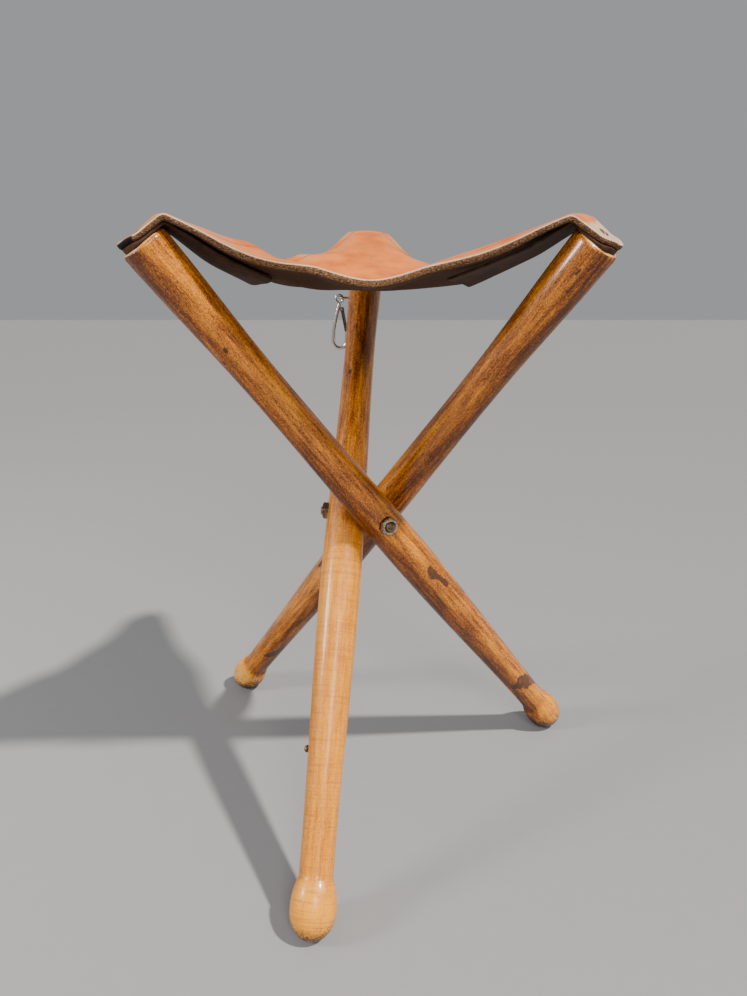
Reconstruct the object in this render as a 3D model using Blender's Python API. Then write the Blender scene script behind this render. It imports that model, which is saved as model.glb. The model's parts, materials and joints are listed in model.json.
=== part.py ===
"""Folding three-legged stool: turned wooden legs crossing on a three-way bolt, under a leather seat.

Metres, +Z up, the front of the stool towards -Y. Each leg turns on its own arm of the three-way bolt,
so the legs fold up parallel round the stool's axis. The seat is built at its sat-in form.
"""

import math

import bmesh
import bpy
import numpy as np
from mathutils import Matrix, Vector

MM = 0.001
TURN = 2 * math.pi

# Stance
LEG_SPLAY = math.radians(38.1)  # lean of an open leg from upright
FIRST_ARM = math.radians(-66.1)  # compass direction of the bolt arm that faces the front
ARM_OFFSET = 20.5 * MM  # stool axis to leg axis, along the arm
FIT = 0.3 * MM  # gap between pieces that touch or run in each other

# Turned leg, measured along its axis from the bolt arm
LEG_ABOVE = 271 * MM
LEG_BELOW = 298 * MM  # to the widest part of the foot bulb
TOP_RADIUS = 16.2 * MM
TOP_ROUND = 3 * MM
WAIST_RADIUS = 13.7 * MM
WAIST_UP = 150 * MM
BELLY_RADIUS = 16.6 * MM
BELLY_DOWN = 60 * MM
ANKLE_RADIUS = 12.5 * MM
BULB_RADIUS = 16.9 * MM
BULB_UPPER = 29.5 * MM  # half length of the bulb's upper oval
BULB_LOWER = 20.5 * MM  # half length of its lower oval
FOOT_WEAR = 0.8 * MM  # depth of the flat that the floor has worn
LEG_SIDES = 32

# Three-way bolt and its nuts
BOLT_RADIUS = 4 * MM
BOLT_PROUD = 2 * MM
BOLT_CHAMFER = 0.8 * MM
NUT_FLATS = 13 * MM
NUT_HEIGHT = 6.5 * MM
NUT_CHAMFER = 0.9 * MM
SPOT_DEPTH = 13 * MM  # leg axis to the flat that the nut bears on
SPOT_RADIUS = 8.3 * MM

# Leather seat: a triangle cut with faintly hollow sides
SEAT_THICKNESS = 4.4 * MM
CORNER_WIDTH = 14.3 * MM  # half width of the leather over a leg end
SEAT_HOLLOW = 7.1 * MM  # how far a side's middle lies inside the line between its ends
SEAT_SAG = 45.3 * MM  # drop of the sat-in middle below the bends over the legs
SEAT_DISH = 10 * MM  # size of the rounded bottom of the dish
SEAT_CLIMB = 1.0  # below 1, the leather climbs steeply from the middle and flattens towards a corner
CREST_POWER = 0.87  # how fast the leather falls away from the line to a corner
NEAR_RISE = 4 * MM  # height of the middle of the side nearest the front foot above the centre
FAR_LEFT_RISE = 15.1 * MM  # the same at the side behind on the viewer's left
FAR_RIGHT_RISE = 4 * MM  # and on the right
RIGHT_DROOP = 7.2 * MM  # droop of the leather's edges near the corner on the right leg
LEFT_DROOP = 4.4 * MM
FRONT_DROOP = 6.1 * MM
RIGHT_BELLY = 13 * MM  # how far the leather bellies down between the sides of the corner on the right leg
LEFT_BELLY = 6 * MM
FRONT_BELLY = 5 * MM
BELLY_RUN = 40 * MM  # from a side inwards until the belly is whole
BELLY_START = 75 * MM  # from the stool's axis outwards until it is whole
BEND_SETBACK = 13.3 * MM  # leg axis to the bend over the leg end, in plan
BEND_SOFTNESS = 4 * MM
BEND_BEFORE = 17 * MM  # the leather is divided more closely from here before a bend
BEND_AFTER = 11 * MM  # to here past it
FLAP_REACH = 16 * MM  # leg axis to the end of the flap, in plan
FLAP_ROUND = 11 * MM
SEAT_COLUMNS = 8

# Leather tongue that doubles each corner
TONGUE_THICKNESS = 1.4 * MM
TONGUE_REACH = 92.5 * MM  # leg axis to its inner end, in plan
TONGUE_UNEVEN = 8 * MM  # the left one is longer by this, and the right one shorter
TONGUE_SHORT = 1 * MM  # how far its outer end lies inside the flap's
TONGUE_WIDE = 29 * MM  # half width at its inner end
TONGUE_NARROW = 14 * MM  # half width over the leg end
TONGUE_HANG = 7.5 * MM  # how far its inner end hangs away from the seat
TONGUE_SLACK = 0.5  # below 1, it leaves the seat soon and then runs beside it
TONGUE_HELD = 4 * MM  # it lies close under the seat from here before the bend
TONGUE_COLUMNS = 6

# Flat-headed wood screw through each corner
SCREW_HEAD = 4.6 * MM
SCREW_SHANK = 2.3 * MM
SCREW_LENGTH = 38 * MM

# Screw eye, snap hook and strap stud on the front leg
EYE_DROP = 55 * MM  # leg end to the eye
EYE_STAND = 1.2 * MM  # gap between the leg and the eye's ring
EYE_RING = 3.3 * MM
EYE_WIRE = 1.0 * MM
EYE_DEPTH = 12 * MM
HOOK_RING = 3.5 * MM
HOOK_RING_WIRE = 1.2 * MM
HOOK_NECK = 2 * MM  # ring to the start of the hook's bar
HOOK_WIRE = 1.9 * MM
HOOK_BEND = 6.6 * MM
HOOK_BEND_DOWN = 41 * MM
HOOK_BOW = 1.4 * MM
HOOK_NOSE_DOWN = 31.8 * MM
HOOK_NOSE = 4 * MM  # straight end of the nose
LUG_THICKNESS = 1.8 * MM
LUG_RADIUS = 2 * MM
WEB_HEIGHT = 2.6 * MM  # web between the hook's bar and its lug
WEB_RAISE = 0.4 * MM
PIN_ACROSS = 2.5 * MM
PIN_DOWN = 10.5 * MM
PIN_RADIUS = 0.75 * MM
PIN_HEAD = 1.3 * MM
PIN_HEAD_HEIGHT = 0.5 * MM
CHEEK = 0.9 * MM
GATE_WIDTH = 2.8 * MM
GATE_SLOT = 2.6 * MM  # pin axis to the bottom of the slot that takes the lug
SPRING_COIL = 0.68 * MM
SPRING_WIRE = 0.16 * MM
SPRING_TURNS = 6
SPRING_LENGTH = 7.6 * MM
SPRING_BORE = 1 * MM
STUD_DOWN = 192 * MM
STUD_HEAD = 2.8 * MM
STUD_SHANK = 1.2 * MM
STUD_DEPTH = 10 * MM

LEG_NAMES = ("right", "left", "front")  # by where the foot stands
SIDE_RISE = {  # of the sides to the two hands of each leg's corner
    "right": (NEAR_RISE, FAR_LEFT_RISE),
    "left": (FAR_RIGHT_RISE, NEAR_RISE),
    "front": (FAR_LEFT_RISE, FAR_RIGHT_RISE),
}
CORNER_DROOP = {"right": RIGHT_DROOP, "left": LEFT_DROOP, "front": FRONT_DROOP}
CORNER_BELLY = {"right": RIGHT_BELLY, "left": LEFT_BELLY, "front": FRONT_BELLY}

# Derived sizes
SOLE = math.hypot(BULB_LOWER * math.cos(LEG_SPLAY), BULB_RADIUS * math.sin(LEG_SPLAY)) - FOOT_WEAR
PIVOT_HEIGHT = LEG_BELOW * math.cos(LEG_SPLAY) + SOLE
TOP_ACROSS = LEG_ABOVE * math.sin(LEG_SPLAY)
CORNER_OUT = math.hypot(ARM_OFFSET, TOP_ACROSS)
CORNER_TURN = FIRST_ARM - math.pi / 2 + math.atan2(ARM_OFFSET, TOP_ACROSS)
STACK = 2 * FIT + TONGUE_THICKNESS + SEAT_THICKNESS  # leg end to the top of the flap
BEND_OUT = CORNER_OUT - BEND_SETBACK
FLAP_END = CORNER_OUT + FLAP_REACH
SIDE_RUN = CORNER_OUT * math.sqrt(0.75) - CORNER_WIDTH / 2  # middle of a side to its end over the leg
SEAT_EDGE = CORNER_OUT / 2 + CORNER_WIDTH * math.sqrt(0.75) - SEAT_HOLLOW  # stool axis to that middle
TONGUE_END = FLAP_END - TONGUE_SHORT
EYE_UP = LEG_ABOVE - EYE_DROP
NECK_UP = BULB_UPPER * math.sqrt(1 - (ANKLE_RADIUS / BULB_RADIUS) ** 2)
GATE_END = math.hypot(HOOK_NOSE_DOWN - PIN_DOWN, HOOK_BEND - PIN_ACROSS) - 2 * FIT
GATE_LEAN = math.atan2(HOOK_BEND - PIN_ACROSS, HOOK_NOSE_DOWN - PIN_DOWN)
GATE_THICKNESS = LUG_THICKNESS + 2 * FIT + 2 * CHEEK


def ease(value):
    """Smooth step from 0 to 1."""
    t = min(max(value, 0.0), 1.0)
    return t * t * (3 - 2 * t)


def material(name, colour, roughness, metallic=0.0):
    """Principled material of one plain colour."""
    made = bpy.data.materials.new(name)
    made.use_nodes = True
    shader = made.node_tree.nodes["Principled BSDF"]
    shader.inputs["Base Color"].default_value = (*colour, 1)
    shader.inputs["Roughness"].default_value = roughness
    shader.inputs["Metallic"].default_value = metallic
    return made


def frame(name, parent, matrix):
    """Empty that pieces are hung on."""
    empty = bpy.data.objects.new(name, None)
    bpy.context.scene.collection.objects.link(empty)
    empty.parent = parent
    empty.matrix_local = matrix
    return empty


def piece(name, bm, parent, finish, sharp=35, place=None):
    """Object from a bmesh, shaded smooth below the sharp angle."""
    bmesh.ops.recalc_face_normals(bm, faces=bm.faces)
    mesh = bpy.data.meshes.new(name)
    bm.to_mesh(mesh)
    bm.free()
    for polygon in mesh.polygons:
        polygon.use_smooth = True
    mesh.set_sharp_from_angle(angle=math.radians(sharp))
    obj = bpy.data.objects.new(name, mesh)
    bpy.context.scene.collection.objects.link(obj)
    obj.parent = parent
    if place is not None:
        obj.matrix_local = place
    if finish is not None:
        mesh.materials.append(finish)
    return obj


def helper(name, bm, parent, place=None):
    """Shape that only cuts or joins."""
    obj = piece(name, bm, parent, None, place=place)
    obj.hide_render = True
    obj.display_type = "WIRE"
    return obj


def combine(obj, other, operation):
    """Exact Boolean of a piece with a helper."""
    modifier = obj.modifiers.new(other.name, "BOOLEAN")
    modifier.operation = operation
    modifier.solver = "EXACT"
    modifier.object = other


def lathe(outline, sides):
    """Solid turned about Z from (radius, z) points that begin and end on the axis."""
    bm = bmesh.new()
    rings = []
    for radius, z in outline:
        if radius < 1e-7:
            rings.append([bm.verts.new((0, 0, z))])
            continue
        angles = [TURN * i / sides for i in range(sides)]
        rings.append([bm.verts.new((radius * math.cos(a), radius * math.sin(a), z)) for a in angles])
    for one, two in zip(rings, rings[1:]):
        for i in range(sides):
            j = (i + 1) % sides
            corners = [one[i % len(one)], one[j % len(one)], two[j % len(two)], two[i % len(two)]]
            bm.faces.new(list(dict.fromkeys(corners)))
    return bm


def rod(radius, low, high, sides=24):
    """Plain round bar along Z."""
    return lathe([(0, low), (radius, low), (radius, high), (0, high)], sides)


def block(size, centre):
    """Box of three sizes about a centre."""
    bm = bmesh.new()
    bmesh.ops.create_cube(bm, size=1)
    bmesh.ops.scale(bm, vec=size, verts=bm.verts)
    bmesh.ops.translate(bm, vec=centre, verts=bm.verts)
    return bm


def tube(path, radii, sides, closed=False):
    """Round bar swept along points, with flat ends unless it is closed."""
    bm = bmesh.new()
    count = len(path)
    rings = []
    side = None
    for i, point in enumerate(path):
        before = path[i - 1] if closed or i else path[0]
        after = path[(i + 1) % count] if closed or i < count - 1 else path[-1]
        ahead = (after - before).normalized()
        if side is None:
            side = ahead.orthogonal().normalized()
        side = (side - ahead * side.dot(ahead)).normalized()
        across = ahead.cross(side)
        ring = []
        for j in range(sides):
            angle = TURN * j / sides
            ring.append(bm.verts.new(point + radii[i] * (math.cos(angle) * side + math.sin(angle) * across)))
        rings.append(ring)
    for i in range(count if closed else count - 1):
        one, two = rings[i], rings[(i + 1) % count]
        for j in range(sides):
            k = (j + 1) % sides
            bm.faces.new((one[j], one[k], two[k], two[j]))
    if not closed:
        bm.faces.new(rings[0])
        bm.faces.new(rings[-1])
    return bm


def along_x():
    """Turns a piece made along Z so that it lies along X."""
    return Matrix.Rotation(math.pi / 2, 4, "Y")


def along_y():
    """Turns a piece made along Z so that it lies along Y."""
    return Matrix.Rotation(-math.pi / 2, 4, "X")


class Stance:
    """Where one leg stands: its bolt arm, its axis and its top."""

    def __init__(self, index):
        self.index = index
        self.name = LEG_NAMES[index]
        angle = FIRST_ARM + index * TURN / 3
        self.arm = Vector((math.cos(angle), math.sin(angle), 0))
        self.swing = Vector((-math.sin(angle), math.cos(angle), 0))
        self.axis = Vector((0, 0, math.cos(LEG_SPLAY))) - math.sin(LEG_SPLAY) * self.swing
        self.pivot = ARM_OFFSET * self.arm + Vector((0, 0, PIVOT_HEIGHT))
        self.top = self.pivot + LEG_ABOVE * self.axis
        self.corner = CORNER_TURN + index * TURN / 3

    def matrix(self):
        """Frame on the bolt arm: X along the arm, Z up the leg."""
        rows = Matrix((self.arm, self.axis.cross(self.arm), self.axis)).transposed()
        return Matrix.Translation(self.pivot) @ rows.to_4x4()


STANCES = [Stance(index) for index in range(3)]


def leg_radius(along):
    """Radius of the turned leg at a distance up its axis from the bolt arm."""
    if along > WAIST_UP:
        return TOP_RADIUS + (WAIST_RADIUS - TOP_RADIUS) * ease((LEG_ABOVE - along) / (LEG_ABOVE - WAIST_UP))
    if along > -BELLY_DOWN:
        swell = ease((WAIST_UP - along) / (WAIST_UP + BELLY_DOWN))
        return WAIST_RADIUS + (BELLY_RADIUS - WAIST_RADIUS) * swell
    ankle = LEG_BELOW - NECK_UP
    return BELLY_RADIUS + (ANKLE_RADIUS - BELLY_RADIUS) * ease((-BELLY_DOWN - along) / (ankle - BELLY_DOWN))


def leg_outline():
    """Turned outline of a leg from its top end to the tip of its foot."""
    points = [(0, LEG_ABOVE)]
    for step in range(4):
        angle = math.pi / 6 * step
        drop = TOP_ROUND * (1 - math.cos(angle))
        points.append((TOP_RADIUS - TOP_ROUND * (1 - math.sin(angle)), LEG_ABOVE - drop))
    top = LEG_ABOVE - TOP_ROUND
    neck = -LEG_BELOW + NECK_UP
    for step in range(1, 22):
        along = top + (neck - top) * step / 21
        points.append((leg_radius(along), along))
    start = math.asin(NECK_UP / BULB_UPPER)
    for step in range(1, 5):
        angle = start * (1 - step / 4)
        points.append((BULB_RADIUS * math.cos(angle), -LEG_BELOW + BULB_UPPER * math.sin(angle)))
    for step in range(1, 8):
        angle = math.pi / 2 * step / 7
        radius = BULB_RADIUS * math.cos(angle) if step < 7 else 0
        points.append((radius, -LEG_BELOW - BULB_LOWER * math.sin(angle)))
    return points


def leg_solid(stance):
    """Leg in its own frame, with the flat that the floor has worn on its foot."""
    bm = lathe(leg_outline(), LEG_SIDES)
    bmesh.ops.recalc_face_normals(bm, faces=bm.faces)
    to_leg = stance.matrix().inverted()
    floor = to_leg @ Vector((0, 0, 0))
    down = to_leg.to_3x3() @ Vector((0, 0, -1))
    everything = bm.verts[:] + bm.edges[:] + bm.faces[:]
    bmesh.ops.bisect_plane(bm, geom=everything, dist=1e-7, plane_co=floor, plane_no=down, clear_outer=True)
    bmesh.ops.holes_fill(bm, edges=[edge for edge in bm.edges if edge.is_boundary], sides=0)
    return bm


def arm_outline(gap):
    """Outline of one bolt arm, or of the hole and nut seat that take it where there is a gap."""
    end = SPOT_DEPTH + FIT + NUT_HEIGHT + BOLT_PROUD
    if gap:
        deep = 2 * BELLY_RADIUS
        radius = BOLT_RADIUS + gap
        hole = [(0, -deep), (radius, -deep), (radius, SPOT_DEPTH)]
        return hole + [(SPOT_RADIUS, SPOT_DEPTH), (SPOT_RADIUS, deep), (0, deep)]
    inner = -ARM_OFFSET
    tip = BOLT_RADIUS - BOLT_CHAMFER
    return [(0, inner), (BOLT_RADIUS, inner), (BOLT_RADIUS, end - BOLT_CHAMFER), (tip, end), (0, end)]


def screw_outline(gap):
    """Outline of a corner screw standing on the leg end, grown by a gap to make its hole."""
    head = SCREW_HEAD + gap
    shank = SCREW_SHANK + gap
    top = STACK + (FIT if gap else 0)
    sink = STACK - (SCREW_HEAD - SCREW_SHANK) - gap
    tip = STACK - SCREW_LENGTH - gap
    return [(0, top), (head, top), (head, STACK), (shank, sink), (shank, tip + 2 * shank), (0, tip)]


def nut_solid():
    """Hex nut along Z with chamfered corners and a clear bore."""
    rings = []
    corner = NUT_FLATS / math.sqrt(3)
    bm = bmesh.new()
    inner = BOLT_RADIUS + FIT
    levels = ((0, corner - NUT_CHAMFER), (NUT_CHAMFER * 0.5, corner))
    levels += ((NUT_HEIGHT - NUT_CHAMFER * 0.5, corner), (NUT_HEIGHT, corner - NUT_CHAMFER))
    for height, reach in levels:
        ring = []
        for i in range(24):
            angle = TURN * i / 24
            flat = (angle + math.pi / 6) % (math.pi / 3) - math.pi / 6
            radius = min(NUT_FLATS / 2 / math.cos(flat), reach)
            ring.append(bm.verts.new((radius * math.cos(angle), radius * math.sin(angle), height)))
        rings.append(ring)
    for height in (NUT_HEIGHT, 0):
        angles = [TURN * i / 24 for i in range(24)]
        rings.append([bm.verts.new((inner * math.cos(a), inner * math.sin(a), height)) for a in angles])
    for one, two in zip(rings, rings[1:] + rings[:1]):
        for i in range(24):
            j = (i + 1) % 24
            bm.faces.new((one[i], one[j], two[j], two[i]))
    return bm


class SeatForm:
    """Form of the sat-in leather: a dish that rises to three corners, each bent over a leg end."""

    def side_half_width(self, out):
        """Half width of the leather across a corner, at a distance from the stool's axis."""
        if out <= SEAT_EDGE / 2:
            return out * math.sqrt(3)
        low, high = 0.0, 2 * SIDE_RUN
        for _ in range(40):
            middle = (low + high) / 2
            away = SEAT_EDGE + SEAT_HOLLOW * (middle / SIDE_RUN) ** 2
            if away / 2 + middle * math.sqrt(0.75) < out:
                low = middle
            else:
                high = middle
        away = SEAT_EDGE + SEAT_HOLLOW * (low / SIDE_RUN) ** 2
        return away * math.sqrt(0.75) - low / 2

    def half_width(self, out):
        """Half width including the rounded end of the flap."""
        start = FLAP_END - FLAP_ROUND
        if out <= start:
            return self.side_half_width(out)
        share = min((out - start) / FLAP_ROUND, 1)
        return self.side_half_width(out) * math.sqrt(max(1 - share * share, 0))

    def flap_height(self, stance, x, y):
        """Height of the flap's top face, which lies along the leg end."""
        away = Vector((x, y, stance.top.z)) - stance.top
        return stance.top.z + (STACK - away.dot(stance.axis)) / stance.axis.z

    def belly(self, stance, ahead, aside):
        """How far the leather bellies down, away from its sides and the middle."""
        deep = CORNER_BELLY[stance.name] * ease(math.hypot(ahead, aside) / BELLY_START)
        for hand in (1, -1):
            beside = ahead / 2 + hand * aside * math.sqrt(0.75)
            along = ahead * math.sqrt(0.75) - hand * aside / 2
            deep *= ease((SEAT_EDGE + SEAT_HOLLOW * (along / SIDE_RUN) ** 2 - beside) / BELLY_RUN)
        return deep

    def height(self, stance, x, y):
        """Height of the leather's top face in the third of the seat that belongs to a leg."""
        out = math.hypot(x, y)
        turn = (math.atan2(y, x) - stance.corner + math.pi) % TURN - math.pi
        spread = math.sin(1.5 * turn) ** 2
        crest = (1 - spread) ** CREST_POWER
        ahead = out * math.cos(turn)
        aside = out * math.sin(turn)
        bend = (math.cos(stance.corner) * BEND_OUT, math.sin(stance.corner) * BEND_OUT)
        lowest = SEAT_DISH**SEAT_CLIMB
        rise = math.hypot(out, SEAT_DISH) ** SEAT_CLIMB - lowest
        rise /= math.hypot(BEND_OUT, SEAT_DISH) ** SEAT_CLIMB - lowest
        near = ease((ahead - 0.46 * BEND_OUT) / (0.4 * BEND_OUT))
        height = self.flap_height(stance, *bend) - SEAT_SAG * (1 - rise * crest)
        height += SIDE_RISE[stance.name][0 if turn > 0 else 1] * (out / SEAT_EDGE) ** 2 * (1 - crest)
        height -= CORNER_DROOP[stance.name] * (aside / (0.2 * BEND_OUT)) ** 2 * near
        height -= self.belly(stance, ahead, aside) * ease(crest)
        flap = self.flap_height(stance, x, y)
        meet = max(BEND_SOFTNESS - abs(height - flap), 0) / BEND_SOFTNESS
        return min(height, flap) - meet * meet * BEND_SOFTNESS / 4

    def place(self, stance, ahead, aside, depth):
        """Point at a depth below the leather's top face, along its normal."""
        forward = Vector((math.cos(stance.corner), math.sin(stance.corner), 0))
        across = Vector((-forward.y, forward.x, 0))
        spot = ahead * forward + float(aside) * across
        step = 0.2 * MM
        nearby = ((step, 0), (-step, 0), (0, step), (0, -step))
        heights = [self.height(stance, spot.x + dx, spot.y + dy) for dx, dy in nearby]
        normal = Vector((heights[1] - heights[0], heights[3] - heights[2], 2 * step)).normalized()
        spot.z = self.height(stance, spot.x, spot.y)
        return spot - depth * normal

    def rows(self, start, end, rounding, bend_rows):
        """Distances from the axis at which the leather is divided, closer where it bends."""
        stops = [BEND_OUT - BEND_BEFORE, BEND_OUT + BEND_AFTER, end - rounding]
        first = max(start, SEAT_EDGE / 2)
        rows = list(np.linspace(start, first, 4)[:-1]) if start < first else []
        rows += list(np.linspace(first, stops[0], 5)[:-1])
        rows += list(np.linspace(stops[0], stops[1], bend_rows)[:-1])
        rows += list(np.linspace(stops[1], stops[2], 2)[:-1])
        rows += [end - rounding * (1 - math.sin(math.pi / 2 * i / 5)) for i in range(6)]
        return [float(row) for row in rows]


def leather(grids):
    """Closed solid between the top and bottom faces of a sheet, from (top, bottom) rows of points."""
    bm = bmesh.new()
    known = {}

    def vertex(point):
        key = (round(point.x, 7), round(point.y, 7), round(point.z, 7))
        if key not in known:
            known[key] = bm.verts.new(point)
        return known[key]

    for tops, bottoms in grids:
        for rows, flip in ((tops, False), (bottoms, True)):
            for one, two in zip(rows, rows[1:]):
                for i in range(len(one) - 1):
                    corners = [vertex(p) for p in (one[i], two[i], two[i + 1], one[i + 1])]
                    corners = list(dict.fromkeys(corners))
                    if len(corners) > 2:
                        bm.faces.new(corners[::-1] if flip else corners)
    bmesh.ops.remove_doubles(bm, verts=bm.verts, dist=MM / 200)
    return bm


def close_rim(bm):
    """Joins the open rims of a sheet's two faces."""
    rim = [edge for edge in bm.edges if edge.is_boundary]
    bmesh.ops.bridge_loops(bm, edges=rim)
    return bm


def seat_solid(form):
    """Seat leather in one piece."""
    grids = []
    rows = form.rows(0, FLAP_END, FLAP_ROUND, 8)
    for stance in STANCES:
        faces = []
        for depth in (0, SEAT_THICKNESS):
            lines = []
            for ahead in rows:
                half = form.half_width(ahead)
                spread = np.linspace(-half, half, SEAT_COLUMNS + 1)
                lines.append([form.place(stance, ahead, aside, depth) for aside in spread])
            faces.append(lines)
        grids.append(faces)
    return close_rim(leather(grids))


def tongue_solid(form, stance):
    """Second layer of leather under one corner, hanging a little away at its inner end."""
    longer = {"right": -TONGUE_UNEVEN, "left": TONGUE_UNEVEN, "front": 0}[stance.name]
    start = CORNER_OUT - TONGUE_REACH - longer
    rows = form.rows(start, TONGUE_END, FLAP_ROUND, 8)
    faces = []
    for lower in (0, 1):
        lines = []
        for ahead in rows:
            share = min((ahead - start) / (BEND_OUT - start), 1)
            half = TONGUE_WIDE + (TONGUE_NARROW - TONGUE_WIDE) * share
            rounded = max(ahead - (TONGUE_END - FLAP_ROUND), 0) / FLAP_ROUND
            half *= math.sqrt(max(1 - rounded * rounded, 0))
            held = BEND_OUT - TONGUE_HELD
            hang = TONGUE_HANG * max((held - ahead) / (held - start), 0) ** TONGUE_SLACK
            depth = SEAT_THICKNESS + FIT + hang + lower * TONGUE_THICKNESS
            spread = np.linspace(-half, half, TONGUE_COLUMNS + 1)
            lines.append([form.place(stance, ahead, aside, depth) for aside in spread])
        faces.append(lines)
    return close_rim(leather([faces]))


def ring_path(radius, count, first, second, centre):
    """Points round a circle spanned by two directions."""
    points = []
    for i in range(count):
        angle = TURN * i / count
        points.append(centre + radius * (math.cos(angle) * first + math.sin(angle) * second))
    return points


def hook_path():
    """Centre line of the snap hook from its neck round the bend to its nose, in the X-Z plane."""
    points = []
    start = Vector((0, 0, -HOOK_RING - HOOK_NECK))
    shoulder = Vector((HOOK_BEND, 0, -HOOK_BEND_DOWN))
    for i in range(10):
        t = i / 10
        point = start.lerp(shoulder, t)
        points.append(point + Vector((HOOK_BOW * math.sin(math.pi * t), 0, 0)))
    for i in range(13):
        angle = math.pi * i / 12
        points.append(Vector((HOOK_BEND * math.cos(angle), 0, -HOOK_BEND_DOWN - HOOK_BEND * math.sin(angle))))
    points.append(Vector((-HOOK_BEND, 0, -HOOK_NOSE_DOWN - HOOK_NOSE)))
    points.append(Vector((-HOOK_BEND, 0, -HOOK_NOSE_DOWN)))
    return points


def build_bolt(root, steel):
    """Three-way bolt with a nut on each arm."""
    arms = []
    for stance in STANCES:
        place = Matrix.Translation(stance.pivot) @ stance.arm.to_track_quat("Z", "Y").to_matrix().to_4x4()
        bm = lathe(arm_outline(0), 24)
        if not arms:
            arms.append(piece("three_way_bolt", bm, root, steel, place=place))
        else:
            arms.append(helper("bolt_arm_" + stance.name, bm, root, place))
            combine(arms[0], arms[-1], "UNION")
        nut_place = place @ Matrix.Translation((0, 0, SPOT_DEPTH + FIT))
        piece("pivot_nut_" + stance.name, nut_solid(), root, steel, 20, nut_place)


def build_leg(stance, root, form, leather_piece, finishes):
    """One leg with its bores, its corner tongue and its corner screw."""
    holder = frame("turn_" + stance.name, root, stance.matrix())
    leg = piece("leg_" + stance.name, leg_solid(stance), holder, finishes["wood"])
    bore = helper("bore_" + stance.name, lathe(arm_outline(FIT), 24), holder, along_x())
    combine(leg, bore, "DIFFERENCE")
    tongue = piece("tongue_" + stance.name, tongue_solid(form, stance), root, finishes["tongue"], 60)
    top = Matrix.Translation((0, 0, LEG_ABOVE))
    hole = helper("screw_hole_" + stance.name, lathe(screw_outline(FIT), 16), holder, top)
    for target in (leg, tongue, leather_piece):
        combine(target, hole, "DIFFERENCE")
    piece("corner_screw_" + stance.name, lathe(screw_outline(0), 16), holder, finishes["steel"], place=top)
    return holder, leg


def build_screw_eye(holder, leg, steel):
    """Screw eye that the hook hangs on, in the front leg. Returns where its ring's outer wire lies."""
    surface = leg_radius(EYE_UP)
    centre = surface + EYE_STAND + EYE_WIRE + EYE_RING
    level = Matrix.Translation((0, 0, EYE_UP)) @ Matrix.Rotation(-LEG_SPLAY, 4, "X")
    path = ring_path(EYE_RING, 24, Vector((1, 0, 0)), Vector((0, 1, 0)), Vector((centre, 0, 0)))
    eye = piece("screw_eye", tube(path, [EYE_WIRE] * 24, 10, True), holder, steel, 60, level)
    start = surface - EYE_DEPTH
    shank = rod(EYE_WIRE * 0.95, start, centre - EYE_RING + 0.4 * EYE_WIRE, 12)
    combine(eye, helper("eye_shank", shank, holder, level @ along_x()), "UNION")
    hole = rod(EYE_WIRE + FIT, start - FIT, 2 * surface, 12)
    combine(leg, helper("eye_hole", hole, holder, level @ along_x()), "DIFFERENCE")
    return level @ Matrix.Translation((centre + EYE_RING, 0, 0))


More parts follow.
